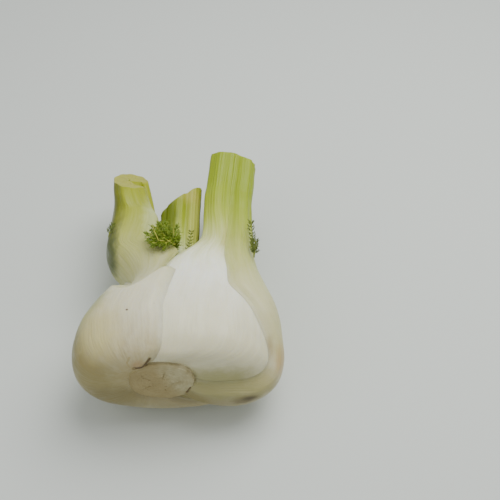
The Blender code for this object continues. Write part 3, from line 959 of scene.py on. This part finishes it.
@dataclass
class HeartLeaf:
    """The folded young leaf in the middle, closed all round, with a slanting cut top.

    cap is how many rows close each end. Each fold has its angle, its depth in mm and its half width in
    radians.
    """

    name: str
    node: str
    finish: LeafFinish
    face: Face = HEART
    cut: tuple[float, float] = (1.02, -0.3)
    columns: int = 144
    rows: int = 120
    cap: int = 12
    ribs: int = 26
    folds: tuple[tuple[float, float, float], ...] = ((1.25, 1.5, 0.16), (2.35, 0.8, 0.14), (4.6, 1.2, 0.2))

    def build(self, effects: Effects) -> bpy.types.Object:
        """Rolls a grid into the heart and closes both ends.

        Args:
            effects: the shared shader groups.

        Returns:
            The heart leaf.
        """
        rows = self.rows + 2 * self.cap
        sheet = Sheet(self.name, self.columns, rows)
        last = len(self.face.rows) - 1
        at, shrink = self.face.rolled(rows, self.cap, rows - self.cap)
        angle = np.linspace(0, 2 * math.pi, self.columns + 1)[None, :]
        base, out = self.face.spots(at, angle), self.face.outward(np.clip(at, 0.05, last - 0.05), angle)
        lift = 0.12 * crest(angle * self.ribs) * eased(at, 7.0, 10.0) + dents(base)
        for where, deep, wide in self.folds:
            gap = np.abs(np.angle(np.exp(1j * (angle - where))))
            lift = lift - deep * np.exp(-(gap / wide) ** 2) * eased(at, 6.5, 9.0)
        points = base + lift[..., None] * out
        middle = self.face.middle(at)
        points = middle + (points - middle) * (1 - (1 - shrink) ** 1.6)[..., None]
        points[..., 1] += slant(points, middle, self.cut) * np.clip(at - last + 1, 0, 1)
        points[..., 1] -= 0.7 * (1 - shrink) * (at >= last)
        mark(sheet.made, "cut", sheet.row > rows - self.cap + 1)
        mark(sheet.made, "edge", np.exp(-np.abs(sheet.row - rows + self.cap) / 1.2) * 0.7)
        heart = sheet.shape(points[sheet.row, sheet.column], sheet.row / rows)
        dress(heart, self.node, self.finish.material(effects))
        return heart


@dataclass
class RootPlate:
    """The trimmed root end: a corky disc with rings, cracks and a ragged collar against the sheaths.

    brim and collar are how far it stands out, in mm, at its face and against the sheaths. hidden is how many
    rows close its end inside the bulb.
    """

    name: str
    node: str
    finish: CorkFinish
    face: Face = PLATE
    columns: int = 168
    rings: int = 34
    sides: int = 30
    hidden: int = 6
    brim: float = 1.3
    collar: float = 3.3

    def build(self, effects: Effects) -> bpy.types.Object:
        """Rolls a grid into the disc.

        Args:
            effects: the shared shader groups.

        Returns:
            The root plate.
        """
        rows = self.rings + self.sides + self.hidden
        sheet = Sheet(self.name, self.columns, rows)
        at, shrink = self.face.rolled(rows, self.rings, self.rings + self.sides)
        angle = np.linspace(0, 2 * math.pi, self.columns + 1)[None, :]
        middle = self.face.middle(at)
        flat = (self.face.spots(at, angle) - middle) * np.array([1.0, 0.0, 1.0])
        frayed = 1 + 0.05 * ripple(unit(flat) * 3.0, 1.1, 5)
        grown = self.brim + (self.collar - self.brim) * eased(at, 0.0, 1.0)
        grown = grown * (1 - eased(at, 2.6, 3.6)) * eased(shrink, 0.5, 1)
        points = middle + flat * shrink[..., None] * frayed[..., None] + grown[..., None] * unit(flat)
        on_end = eased(1 - shrink, 0.0, 0.25) * (at <= 0)
        far = np.linalg.norm(points - middle, axis=-1)
        crumbs = 0.32 * ripple(points, 4.2, 11) + 0.16 * ripple(points, 1.7, 12) + 0.10 * np.sin(far * 3.1)
        crack = np.exp(-(np.abs(np.sin(2.5 * angle + 0.5 * ripple(points, 7.0, 14))) / 0.05) ** 2)
        crack = crack * eased(far, 2.5, 5.0)
        points[..., 1] += (crumbs + 0.5 * crack - 0.5 * (1 - (far / 10.0) ** 2)) * on_end
        points = points + 0.22 * ripple(points, 2.6, 17)[..., None] * unit(flat) * (at > 0)[..., None]
        plate = sheet.shape(points[sheet.row, sheet.column], sheet.row / rows)
        dress(plate, self.node, self.finish.material(effects))
        return plate


# Fronds


@dataclass
class Thread:
    """One thread-like leaflet, modelled once: a tapering rod with a few rings, to be laid along any path."""

    sides: int = 4
    cuts: int = 3
    height: np.ndarray = field(init=False)
    turn: np.ndarray = field(init=False)
    size: np.ndarray = field(init=False)
    faces: list[tuple[int, ...]] = field(init=False)

    def __post_init__(self) -> None:
        """Adds a cylinder, cuts rings into it, reads its points and takes it away again."""
        deselect()
        bpy.ops.mesh.primitive_cylinder_add(
            vertices=self.sides, radius=1.0, depth=1.0, end_fill_type="TRIFAN", location=(0, 0, 0.5))
        rod = bpy.context.object
        bpy.ops.object.transform_apply(location=True, rotation=False, scale=False)
        bpy.ops.object.mode_set(mode="EDIT")
        for cut in range(self.cuts):
            bpy.ops.mesh.select_all(action="SELECT")
            bpy.ops.mesh.bisect(plane_co=(0, 0, (cut + 1) / (self.cuts + 1)), plane_no=(0, 0, 1))
        bpy.ops.object.mode_set(mode="OBJECT")
        spots = np.array([v.co[:] for v in rod.data.vertices])
        self.height = spots[:, 2]
        self.turn = np.arctan2(spots[:, 1], spots[:, 0])
        self.size = np.hypot(spots[:, 0], spots[:, 1])
        self.faces = [tuple(p.vertices) for p in rod.data.polygons]
        bpy.data.objects.remove(rod, do_unlink=True)

    def laid(self, path: np.ndarray, root: float, tip: float) -> np.ndarray:
        """Points of a thread along a path.

        Args:
            path: the places that it follows.
            root: its radius at the start.
            tip: its radius at the end.

        Returns:
            One point for each point of the modelled thread.
        """
        at = self.height * (len(path) - 1)
        middle = smooth(path, at)
        ahead = unit(smooth(path, at + 0.05) - smooth(path, at - 0.05))
        whole = unit(path[-1] - path[0])
        aside = np.cross(whole, [0.0, 0.0, 1.0]) if abs(whole[2]) < 0.9 else np.cross(whole, [1.0, 0.0, 0.0])
        first = unit(aside - (ahead @ aside)[:, None] * ahead)
        second = np.cross(ahead, first)
        radius = (self.size * (root + (tip - root) * self.height ** 1.3))[:, None]
        return middle + radius * (np.cos(self.turn)[:, None] * first + np.sin(self.turn)[:, None] * second)


@dataclass
class Frond:
    """A feathery young frond: stems, side branches in pairs, and thread-like leaflets on those.

    A stem runs through its spots (across, along and up, in mm), and a bare one has lost its leaflets. stray
    is how far the branches lean up, at least and at most, and forked the share of the leaflets that fork.
    """

    name: str
    node: str
    stems: Sequence[Sequence[Spot]]
    pairs: int
    length: float
    stray: tuple[float, float]
    seed: int
    finish: FrondFinish
    bare: Sequence[Sequence[Spot]] = ()
    leaflets: int = 5
    stem_radius: float = 0.42
    thread_radius: float = 0.13
    forked: float = 0.6
    points: list[np.ndarray] = field(default_factory=list)
    stem_marks: list[np.ndarray] = field(default_factory=list)
    tip_marks: list[np.ndarray] = field(default_factory=list)

    def _lay(self, thread: Thread, path: Sequence[np.ndarray], root: float, tip: float,
             stem: float) -> None:
        """Adds one thread along a path."""
        self.points.append(thread.laid(np.array(path), root, tip))
        self.stem_marks.append(np.full(len(thread.height), stem) * (1 - 0.3 * thread.height))
        self.tip_marks.append(thread.height * (1 - stem))

    def _spray(self, thread: Thread, draw: random.Random, start: np.ndarray, way: np.ndarray,
               ahead: np.ndarray, length: float) -> None:
        """Adds a side branch and its leaflets.

        Args:
            thread: the modelled leaflet.
            draw: where its unevenness comes from.
            start: where the branch leaves the stem.
            way: the branch's direction.
            ahead: the stem's direction there.
            length: the branch's length in mm.
        """
        bent = unit(way + 0.5 * ahead + np.array([draw.uniform(-0.25, 0.25) for _ in range(3)]))
        mid = start + way * length * 0.5
        end = mid + bent * length * 0.5
        path = [start, start + way * length * 0.26, mid, end]
        self._lay(thread, path, self.thread_radius * 1.35, self.thread_radius * 0.7, 0.35)
        for number in range(self.leaflets):
            part = 0.25 + 0.72 * (number + draw.uniform(0, 0.6)) / self.leaflets
            root = smooth(path, np.array(part * 3))
            for turn in (-1, 1):
                off = unit(np.cross(bent, np.array([draw.uniform(-1, 1) for _ in range(3)])))
                side = unit(bent * draw.uniform(0.5, 1.0) + off * turn * draw.uniform(0.6, 1.1))
                reach = length * draw.uniform(0.28, 0.5) * (1.15 - 0.5 * part)
                curl = unit(side + 0.6 * bent)
                first, second = root + side * reach * 0.35, root + side * reach * 0.65
                leaflet = [root, first, second, second + curl * reach * 0.4]
                self._lay(thread, leaflet, self.thread_radius, self.thread_radius * 0.45, 0.0)
                if draw.random() < self.forked:
                    fork = unit(side + 0.9 * np.cross(side, off) * draw.choice((-1, 1)))
                    split = [first, first + fork * reach * 0.2, first + fork * reach * 0.38,
                             first + unit(fork + bent) * reach * 0.5]
                    self._lay(thread, split, self.thread_radius * 0.85, self.thread_radius * 0.4, 0.0)

    def build(self, thread: Thread, effects: Effects) -> bpy.types.Object:
        """Grows the frond.

        Args:
            thread: the modelled leaflet.
            effects: the shared shader groups.

        Returns:
            The frond as one mesh.
        """
        draw = random.Random(self.seed)
        for stem in self.bare:
            self._lay(thread, np.array(stem, float), self.stem_radius * 0.9, self.stem_radius * 0.45, 1.0)
        for stem in self.stems:
            stem = np.array(stem, float)
            self._lay(thread, stem, self.stem_radius, self.stem_radius * 0.5, 1.0)
            for pair in range(self.pairs):
                share = 0.12 + 0.88 * (pair + 1) / self.pairs
                spot = smooth(stem, np.array(share * (len(stem) - 1)))
                ahead = unit(spot - smooth(stem, np.array(share * (len(stem) - 1) - 0.08)))
                across = unit(np.cross(ahead, [0.0, 0.0, 1.0]))
                for turn in (-1, 1):
                    lean, up = draw.uniform(0.4, 1.0), draw.uniform(*self.stray)
                    way = unit(across * turn + ahead * lean + np.array([0.0, 0.0, up]))
                    length = self.length * draw.uniform(0.8, 1.15) * (1 - 0.25 * share)
                    self._spray(thread, draw, spot, way, ahead, length)
        starts = range(0, len(self.points) * len(thread.height), len(thread.height))
        faces = [tuple(point + start for point in loop) for start in starts for loop in thread.faces]
        mesh = bpy.data.meshes.new(self.name)
        mesh.from_pydata(placed(np.concatenate(self.points)).tolist(), [], faces)
        mesh.shade_smooth()
        grown = bpy.data.objects.new(self.name, mesh)
        mark(grown, "stem", np.concatenate(self.stem_marks))
        mark(grown, "tip", np.concatenate(self.tip_marks))
        bpy.context.scene.collection.objects.link(grown)
        dress(grown, self.node, self.finish.material(effects))
        return grown


# Stage


@dataclass(frozen=True)
class Studio:
    """A pale floor, soft light and the camera."""

    focal: float = 56.88
    camera_spot: Spot = (0.03126, -0.22017, 0.30867)
    camera_tilt: float = 43.0
    floor_colour: Colour = (0.60, 0.635, 0.59)
    floor_size: float = 6.0
    floor_roughness: float = 0.7
    sensor: float = 36.0
    sky_colour: Colour = (0.97, 0.98, 1.0)
    sky: float = 0.6
    lamp_size: float = 0.5
    key_spot: Spot = (0.20, 0.16, 0.60)
    key_power: float = 4.4
    fill_spot: Spot = (-0.35, -0.35, 0.5)
    fill_share: float = 0.12

    def build(self) -> None:
        """Sets all of it up."""
        self._floor()
        self._lights()
        lens = bpy.data.cameras.new("camera")
        lens.lens, lens.sensor_width = self.focal, self.sensor
        lens.clip_start, lens.clip_end = 0.01, 20.0
        camera = bpy.data.objects.new("camera", lens)
        camera.location = self.camera_spot
        camera.rotation_euler = (math.radians(self.camera_tilt), 0.0, 0.0)
        bpy.context.scene.collection.objects.link(camera)
        bpy.context.scene.camera = camera

    def _floor(self) -> None:
        """A wide floor that the bulb lies on."""
        deselect()
        bpy.ops.mesh.primitive_plane_add(size=self.floor_size, location=(0, 0, 0))
        floor = bpy.context.object
        floor.name = "floor"
        finish = bpy.data.materials.new("pale_floor")
        finish.use_nodes = True
        shader = finish.node_tree.nodes["Principled BSDF"]
        shader.inputs["Base Color"].default_value = (*self.floor_colour, 1.0)
        shader.inputs["Roughness"].default_value = self.floor_roughness
        floor.data.materials.append(finish)

    def _lights(self) -> None:
        """A large soft light overhead, a weak one in front, and a pale sky."""
        world = bpy.data.worlds.new("sky")
        bpy.context.scene.world = world
        world.use_nodes = True
        sky = world.node_tree.nodes["Background"]
        sky.inputs["Color"].default_value = (*self.sky_colour, 1.0)
        sky.inputs["Strength"].default_value = self.sky
        for name, spot, power in (("key", self.key_spot, self.key_power),
                                  ("fill", self.fill_spot, self.key_power * self.fill_share)):
            lamp = bpy.data.lights.new(name, "AREA")
            lamp.size, lamp.energy = self.lamp_size, power
            made = bpy.data.objects.new(name, lamp)
            made.location = spot
            made.rotation_euler = (-Vector(spot)).to_track_quat("-Z", "Y").to_euler()
            bpy.context.scene.collection.objects.link(made)


# The bulb's colours, with its painted shade and light, and its pieces

WHITE = (0.72, 0.72, 0.60)
CREAM = (0.60, 0.56, 0.38)
PALE_GREEN = (0.50, 0.52, 0.16)
TAN = (0.37, 0.29, 0.12)
OLIVE_TAN = (0.29, 0.24, 0.085)
BROWN = (0.10, 0.06, 0.02)
PINK_BROWN = (0.40, 0.25, 0.12)
VEIN = (0.88, 0.90, 0.62)
# Olive brown low by the root: partly browning, partly painted shade on the bottom front.
BY_THE_ROOT = StainOrShading((8, -37, 17), (18, 9, 10), (0.27, 0.23, 0.09), 0.95, 0.2, 0.5)

LEFT_SHEATH = LeafFinish(
    "left_sheath_skin",
    stops=((0.0, (0.40, 0.34, 0.17)), (0.10, CREAM), (0.22, (0.71, 0.69, 0.52)),
           (0.36, (0.66, 0.65, 0.40))),
    vein=VEIN, rim=(0.58, 0.56, 0.34), flesh=PALE_GREEN,
    stains_and_shading=(
        StainOrShading((-41, -20, 40), (13, 26, 20), (0.42, 0.38, 0.15), 0.9, 0.3, 0.3),
        StainOrShading((-41, -27, 39), (10, 18, 18), (0.22, 0.195, 0.055), 0.9, 0.3, 0.4),
        StainOrShading((-33, -36, 35), (19, 13, 18), OLIVE_TAN, 0.9, 0.35, 0.25),
        StainOrShading((-36, -30, 46), (15, 14, 12), TAN, 0.45, 0.4, 0.1),
        # partly the sheath's own tan, partly painted shade on the bottom front
        StainOrShading((-26, -40, 22), (22, 9, 13), (0.23, 0.19, 0.075), 0.9, 0.3, 0.4),
        StainOrShading((-13, -38, 37), (13, 7, 13), TAN, 0.8, 0.35, 0.3),
        StainOrShading((-37, -6, 45), (14, 18, 14), (0.33, 0.345, 0.11), 0.9, 0.3, 0.28),
        StainOrShading((-31, -24, 50), (18, 20, 12), (0.60, 0.54, 0.24), 0.8, 0.3, 0.2),
        StainOrShading((-18.9, -18.5, 56.6), (0.75, 0.6, 1.2), BROWN, 0.95, 0.1, 0.4),
        StainOrShading((-14, -38, 45.5), (4.6, 3, 4.2), PINK_BROWN, 0.55, 0.4, 0.1),
        # partly the sheath's own tan, partly painted shade on the bottom front
        StainOrShading((0, -38, 18), (28, 8, 9), (0.29, 0.25, 0.13), 0.85, 0.3, 0.2),
    ),
    scratches=(
        Scratch(((-8.7, -37, 47.8), (-12.5, -37.4, 43.7), (-15.4, -38, 43.6)), 1.3, BROWN, 0.95, 1.0),
        Scratch(((-15.4, -38, 43.6), (-17.2, -37.9, 44.8), (-17.9, -37.6, 46.9), (-16.9, -36.9, 48.9)),
                0.7, TAN, 0.7, 0.5),
        Scratch(((-13, -14, 57), (-8, -15.5, 57)), 0.5, TAN, 0.35, 0.2),
    ),
)
RIGHT_OUTER = LeafFinish(
    "right_outer_skin",
    stops=((0.0, (0.40, 0.35, 0.19)), (0.10, CREAM), (0.22, (0.62, 0.60, 0.36)),
           (0.38, (0.56, 0.56, 0.22)), (0.54, (0.42, 0.47, 0.10)), (0.67, (0.32, 0.40, 0.015)),
           (0.80, (0.26, 0.35, 0.003)), (0.95, (0.30, 0.38, 0.004))),
    vein=VEIN, rim=(0.60, 0.58, 0.38), flesh=(0.46, 0.48, 0.12), vein_share=0.2,
    stains_and_shading=(
        StainOrShading((30, -39, 22), (9, 5, 4.6), BROWN, 0.95, 0.5, 0.35),
        StainOrShading((44.5, -23, 31), (4.5, 12, 11), (0.46, 0.30, 0.12), 0.85, 0.3, 0.2),
        StainOrShading((39.5, -24, 37), (3, 9, 6), (0.30, 0.19, 0.09), 0.75, 0.5, 0.1),
        # These four: darker olive tan on the bottom front, partly the leaf's own tan, partly painted shade
        StainOrShading((12, -39, 21), (24, 8, 11), (0.31, 0.27, 0.14), 0.85, 0.3, 0.2),
        StainOrShading((35, -36, 30), (15, 10, 14), (0.37, 0.34, 0.14), 0.85, 0.3, 0.2),
        StainOrShading((20, -38, 29), (24, 7, 9), (0.33, 0.31, 0.125), 0.85, 0.3, 0.35),
        StainOrShading((6, -38, 20), (12, 7, 8), (0.27, 0.23, 0.09), 0.95, 0.2, 0.5),
        StainOrShading((44, -8, 36), (10, 28, 17), (0.50, 0.48, 0.22), 0.8, 0.3, 0.15),
        StainOrShading((31, -39, 22.5), (5, 4, 2.4), (0.06, 0.04, 0.015), 0.7, 0.6, 0.1),
    ),
    scratches=(
        Scratch(((5.2, -36, 34), (6.2, -37, 31), (6.0, -37, 28), (4.6, -37, 25)), 0.9, BROWN, 0.8, 1.0),
    ),
)
LEFT_INNER = LeafFinish(
    "left_stalk_skin",
    stops=((0.0, CREAM), (0.2, WHITE), (0.40, (0.58, 0.57, 0.31)), (0.52, (0.47, 0.48, 0.17)),
           (0.68, (0.36, 0.39, 0.05)), (0.80, (0.31, 0.35, 0.006)), (0.95, (0.30, 0.33, 0.003))),
    vein=(0.86, 0.88, 0.55), rim=(0.18, 0.20, 0.02), flesh=(0.36, 0.36, 0.05),
    high=88.0, vein_share=0.05,
    stains_and_shading=(
        # painted shade: dark olive and grey-green down the stalk's left flank, which faces away from the key
        # light
        StainOrShading((-39, 56, 40), (12, 42, 20), (0.115, 0.125, 0.004), 0.9, 0.25, 0.3),
        StainOrShading((-36.5, 30, 36), (8.5, 22, 17), (0.075, 0.095, 0.02), 0.95, 0.3, 0.38),
        # painted light: a paler streak on the stalk's right side, which faces the key light
        StainOrShading((-15, 52, 40), (8, 30, 9), (0.55, 0.60, 0.26), 0.8, 0.3, 0.15),
        BY_THE_ROOT,
    ),
)
RIGHT_INNER = LeafFinish(
    "right_stalk_skin",
    stops=((0.0, CREAM), (0.11, (0.70, 0.68, 0.46)), (0.24, (0.80, 0.79, 0.62)),
           (0.35, (0.92, 0.94, 0.85)), (0.45, (0.84, 0.86, 0.60)), (0.54, (0.60, 0.63, 0.26)),
           (0.65, (0.38, 0.45, 0.03)), (0.80, (0.27, 0.36, 0.004)), (0.95, (0.27, 0.35, 0.002))),
    vein=VEIN, rim=(0.34, 0.36, 0.08), flesh=(0.42, 0.46, 0.10), vein_share=0.2,
    stains_and_shading=(
        # painted shade: an olive band in the groove where this stalk meets the outer right leaf's margin
        StainOrShading((21.5, 34, 44), (5, 18, 7), (0.41, 0.39, 0.07), 0.75, 0.2, 0.15),
        # painted shade: darker olive tan across the bottom front, which faces away from the light above
        StainOrShading((18, -38, 32), (32, 9, 12), (0.35, 0.33, 0.14), 0.9, 0.3, 0.3),
        StainOrShading((1, -37, 43), (10, 5, 7), (0.50, 0.45, 0.26), 0.7, 0.4, 0.1),
        BY_THE_ROOT,
    ),
)
HEART_SKIN = LeafFinish(
    "heart_skin",
    stops=((0.0, CREAM), (0.3, WHITE), (0.60, (0.72, 0.78, 0.36)), (0.72, (0.38, 0.45, 0.03)),
           (0.85, (0.22, 0.28, 0.001)), (1.0, (0.27, 0.31, 0.004))),
    vein=(0.84, 0.88, 0.5), rim=(0.40, 0.38, 0.12), flesh=(0.48, 0.47, 0.16),
    low=-30.0, high=70.0, vein_share=0.06,
    stains_and_shading=(
        StainOrShading((5.5, 50, 39), (6.5, 34, 12), (0.42, 0.44, 0.08), 0.85, 0.2, 0.25),
        # deep green on the heart's left: partly its own colour, partly painted shade between the stalks
        StainOrShading((-9, 52, 40), (7, 24, 12), (0.10, 0.135, 0.0), 0.9, 0.2, 0.4),
        StainOrShading((2.5, 66, 41), (8, 7, 9), (0.40, 0.39, 0.07), 0.8, 0.3, 0.2),
    ),
)
TUFT = FrondFinish("tuft_green", (0.065, 0.125, 0.002), (0.20, 0.29, 0.004), (0.50, 0.48, 0.06))
SPRIG = FrondFinish("sprig_green", (0.035, 0.06, 0.004), (0.12, 0.16, 0.01), (0.22, 0.26, 0.02))


def clasping_leaves() -> list[ClaspingLeaf]:
    """The four sheaths with their stalks, from the outside in."""
    return [
        ClaspingLeaf(
            "left_sheath", "outer_left_sheath", LEFT_FACE, Side.LEFT, True,
            front=[84, 84, 84, 85, 85, 85, 84, 84, 83, 82, 82, 82, 82],
            back=[112, 112, 113, 116, 119, 121, 122, 122, 120, 117, 112, 108, 106],
            middle=[2.0, 2.5, 3.0, 3.7, 4.3, 4.8, 5.0, 5.0, 4.8, 4.2, 2.9, 1.8, 1.5],
            edge=[1.0, 1.0, 1.1, 1.2, 1.3, 1.3, 1.3, 1.3, 1.2, 1.1, 1.0, 1.0, 1.0],
            start=[0.0, 0.0, 0.0, 0.2, 1.2],
            rim=[10.2, 10.3, 10.4, 10.5, 10.6, 10.65, 10.7, 10.75, 10.8, 10.85, 10.9, 10.9, 10.9, 10.85,
                 10.7, 10.3, 9.7, 9.1, 8.6, 8.15, 7.75, 7.65, 8.1, 9.4, 9.0],
            ribs=0.2, finish=LEFT_SHEATH, end=End.TORN, rows=140, columns=200),
        ClaspingLeaf(
            "right_leaf_with_stalk", "outer_right_leaf", RIGHT_FACE, Side.RIGHT, True,
            front=[2, 0, 0, 3, 9, 19, 31, 43.5, 57.5, 58.5, 56, 57, 61, 66, 67, 66, 65, 64, 63],
            back=[62, 62, 60, 58, 56, 54, 53, 53, 54, 56, 60, 64, 70, 75, 76, 76, 74, 72, 70],
            middle=[2.2, 3.0, 4.0, 4.8, 5.2, 5.3, 5.3, 5.3, 5.2, 5.0, 4.9, 4.8, 4.7, 4.5, 4.4, 4.2, 4.0, 3.9,
                    3.8],
            edge=[1.0, 1.0, 1.1, 1.2] + [1.3] * 4 + [1.2] * 2 + [1.1] * 4 + [1.2] * 5,
            rim=[17.9, 17.9], cut=(-0.25, -0.3), finish=RIGHT_OUTER, columns=160, rows=180),
        ClaspingLeaf(
            "inner_left_leaf", "left_leaf", LEFT_FACE, Side.LEFT, False,
            front=[70] * 10 + [71, 85, 103, 117, 144, 154, 155, 155],
            back=[70] * 11 + [74, 88, 118, 144, 154, 155, 155],
            middle=[4.4, 4.8, 5.2, 5.6] + [6.0] * 7 + [6.2, 6.8, 7.6, 8.2, 8.4, 8.0, 7.2],
            edge=[1.6] * 11 + [1.7, 1.9, 2.2, 2.5, 2.8, 2.8, 2.8],
            rim=[17.0, 17.0], cut=(-0.3, -1.65), relief=0.5, finish=LEFT_INNER, columns=176, rows=150),
        ClaspingLeaf(
            "inner_right_leaf", "right_leaf", RIGHT_FACE, Side.RIGHT, False,
            front=[107] * 11 + [108, 112, 117, 128, 140, 142, 142, 142],
            back=[107] * 11 + [106, 108, 116, 130, 140, 142, 142, 142],
            middle=[4.4, 4.8, 5.2, 5.6] + [6.0] * 7 + [6.2, 6.6, 7.6, 8.2, 8.6, 8.4, 8.2, 8.0],
            edge=[1.6] * 11 + [1.7, 1.8, 2.1, 2.4, 2.8, 2.8, 2.8, 2.8],
            rim=[18.0, 18.0], cut=(-0.1, -0.35), ribs=0.35, finish=RIGHT_INNER, columns=200, rows=180),
    ]


def young_fronds() -> list[Frond]:
    """The tuft between the two big stalks and the small sprigs beside the stalks."""
    return [
        Frond("tuft", "young_frond",
              stems=[
                  [(-5.4, 60.5, 12.6), (-4.9, 67.3, 14.6), (-8.4, 69.5, 18.4), (-9.8, 76.0, 18.2)],
                  [(-5.6, 60.8, 12.8), (-5.6, 68.4, 16.2), (-11.2, 63.4, 21.0), (-14.2, 68.6, 20.6)],
                  [(-5.2, 60.8, 12.8), (-4.6, 66.0, 14.4), (-4.2, 69.5, 17.0), (-4.4, 74.5, 17.4)],
                  [(-5.0, 60.6, 12.8), (-4.3, 67.8, 15.2), (-4.8, 65.0, 19.6), (-8.0, 61.8, 20.6)],
                  [(-5.5, 60.8, 12.8), (-6.2, 66.0, 16.8), (-9.6, 63.0, 20.6), (-12.4, 61.6, 21.4)],
                  [(-5.3, 60.8, 12.8), (-6.4, 68.0, 16.4), (-8.6, 68.0, 20.2), (-11.8, 72.4, 20.6)],
              ],
              bare=[
                  [(-5.0, 66.5, 14.8), (-7.4, 63.6, 20.6), (-10.2, 62.6, 22.2), (-12.2, 67.4, 22.8),
                   (-13.6, 72.6, 22)],
                  [(-4.4, 66.8, 15.2), (-2.9, 63.4, 18.8), (-4.2, 62.6, 20.4), (-8.6, 65.4, 21.6)],
              ],
              pairs=12, length=5.0, stray=(-0.1, 0.45), seed=26, finish=TUFT, leaflets=7,
              thread_radius=0.17),
        Frond("heart_wisp", "heart_sprig",
              stems=[[(2.6, 62.5, 12.2), (2.9, 66.0, 13.6), (3.4, 70.0, 14.6), (3.6, 75.0, 14.8)]],
              pairs=7, length=2.2, stray=(0.0, 0.5), seed=7, finish=SPRIG, stem_radius=0.26),
        Frond("right_wisp", "right_sprig",
              stems=[[(33.2, 61.0, 12.6), (32.8, 66.5, 14.2), (32.4, 73.0, 15.2), (31.8, 80.5, 15.6)],
                     [(33.1, 61.4, 12.8), (33.6, 63.6, 14.0), (33.4, 66.2, 14.8), (33.9, 69.0, 15.2)]],
              pairs=11, length=2.9, stray=(0.1, 0.7), seed=11, finish=SPRIG, stem_radius=0.3),
        Frond("left_wisp", "left_sprig",
              stems=[[(-35.6, 74.5, 12.0), (-35.0, 76.8, 13.2), (-34.5, 79.0, 13.6), (-34.1, 81.5, 13.4)]],
              pairs=7, length=2.2, stray=(0.1, 0.6), seed=13, finish=SPRIG, stem_radius=0.26),
    ]


def main() -> None:
    """Builds and dresses every piece, in order."""
    logging.basicConfig(level=logging.INFO, format="%(name)s: %(message)s")
    effects = Effects()
    Studio().build()
    for leaf in clasping_leaves():
        leaf.build(effects)
    HeartLeaf("heart", "heart_leaf", HEART_SKIN).build(effects)
    RootPlate("root_disc", "root_plate", CorkFinish()).build(effects)
    thread = Thread()
    for frond in young_fronds():
        frond.build(thread, effects)


if __name__ == "__main__":
    main()
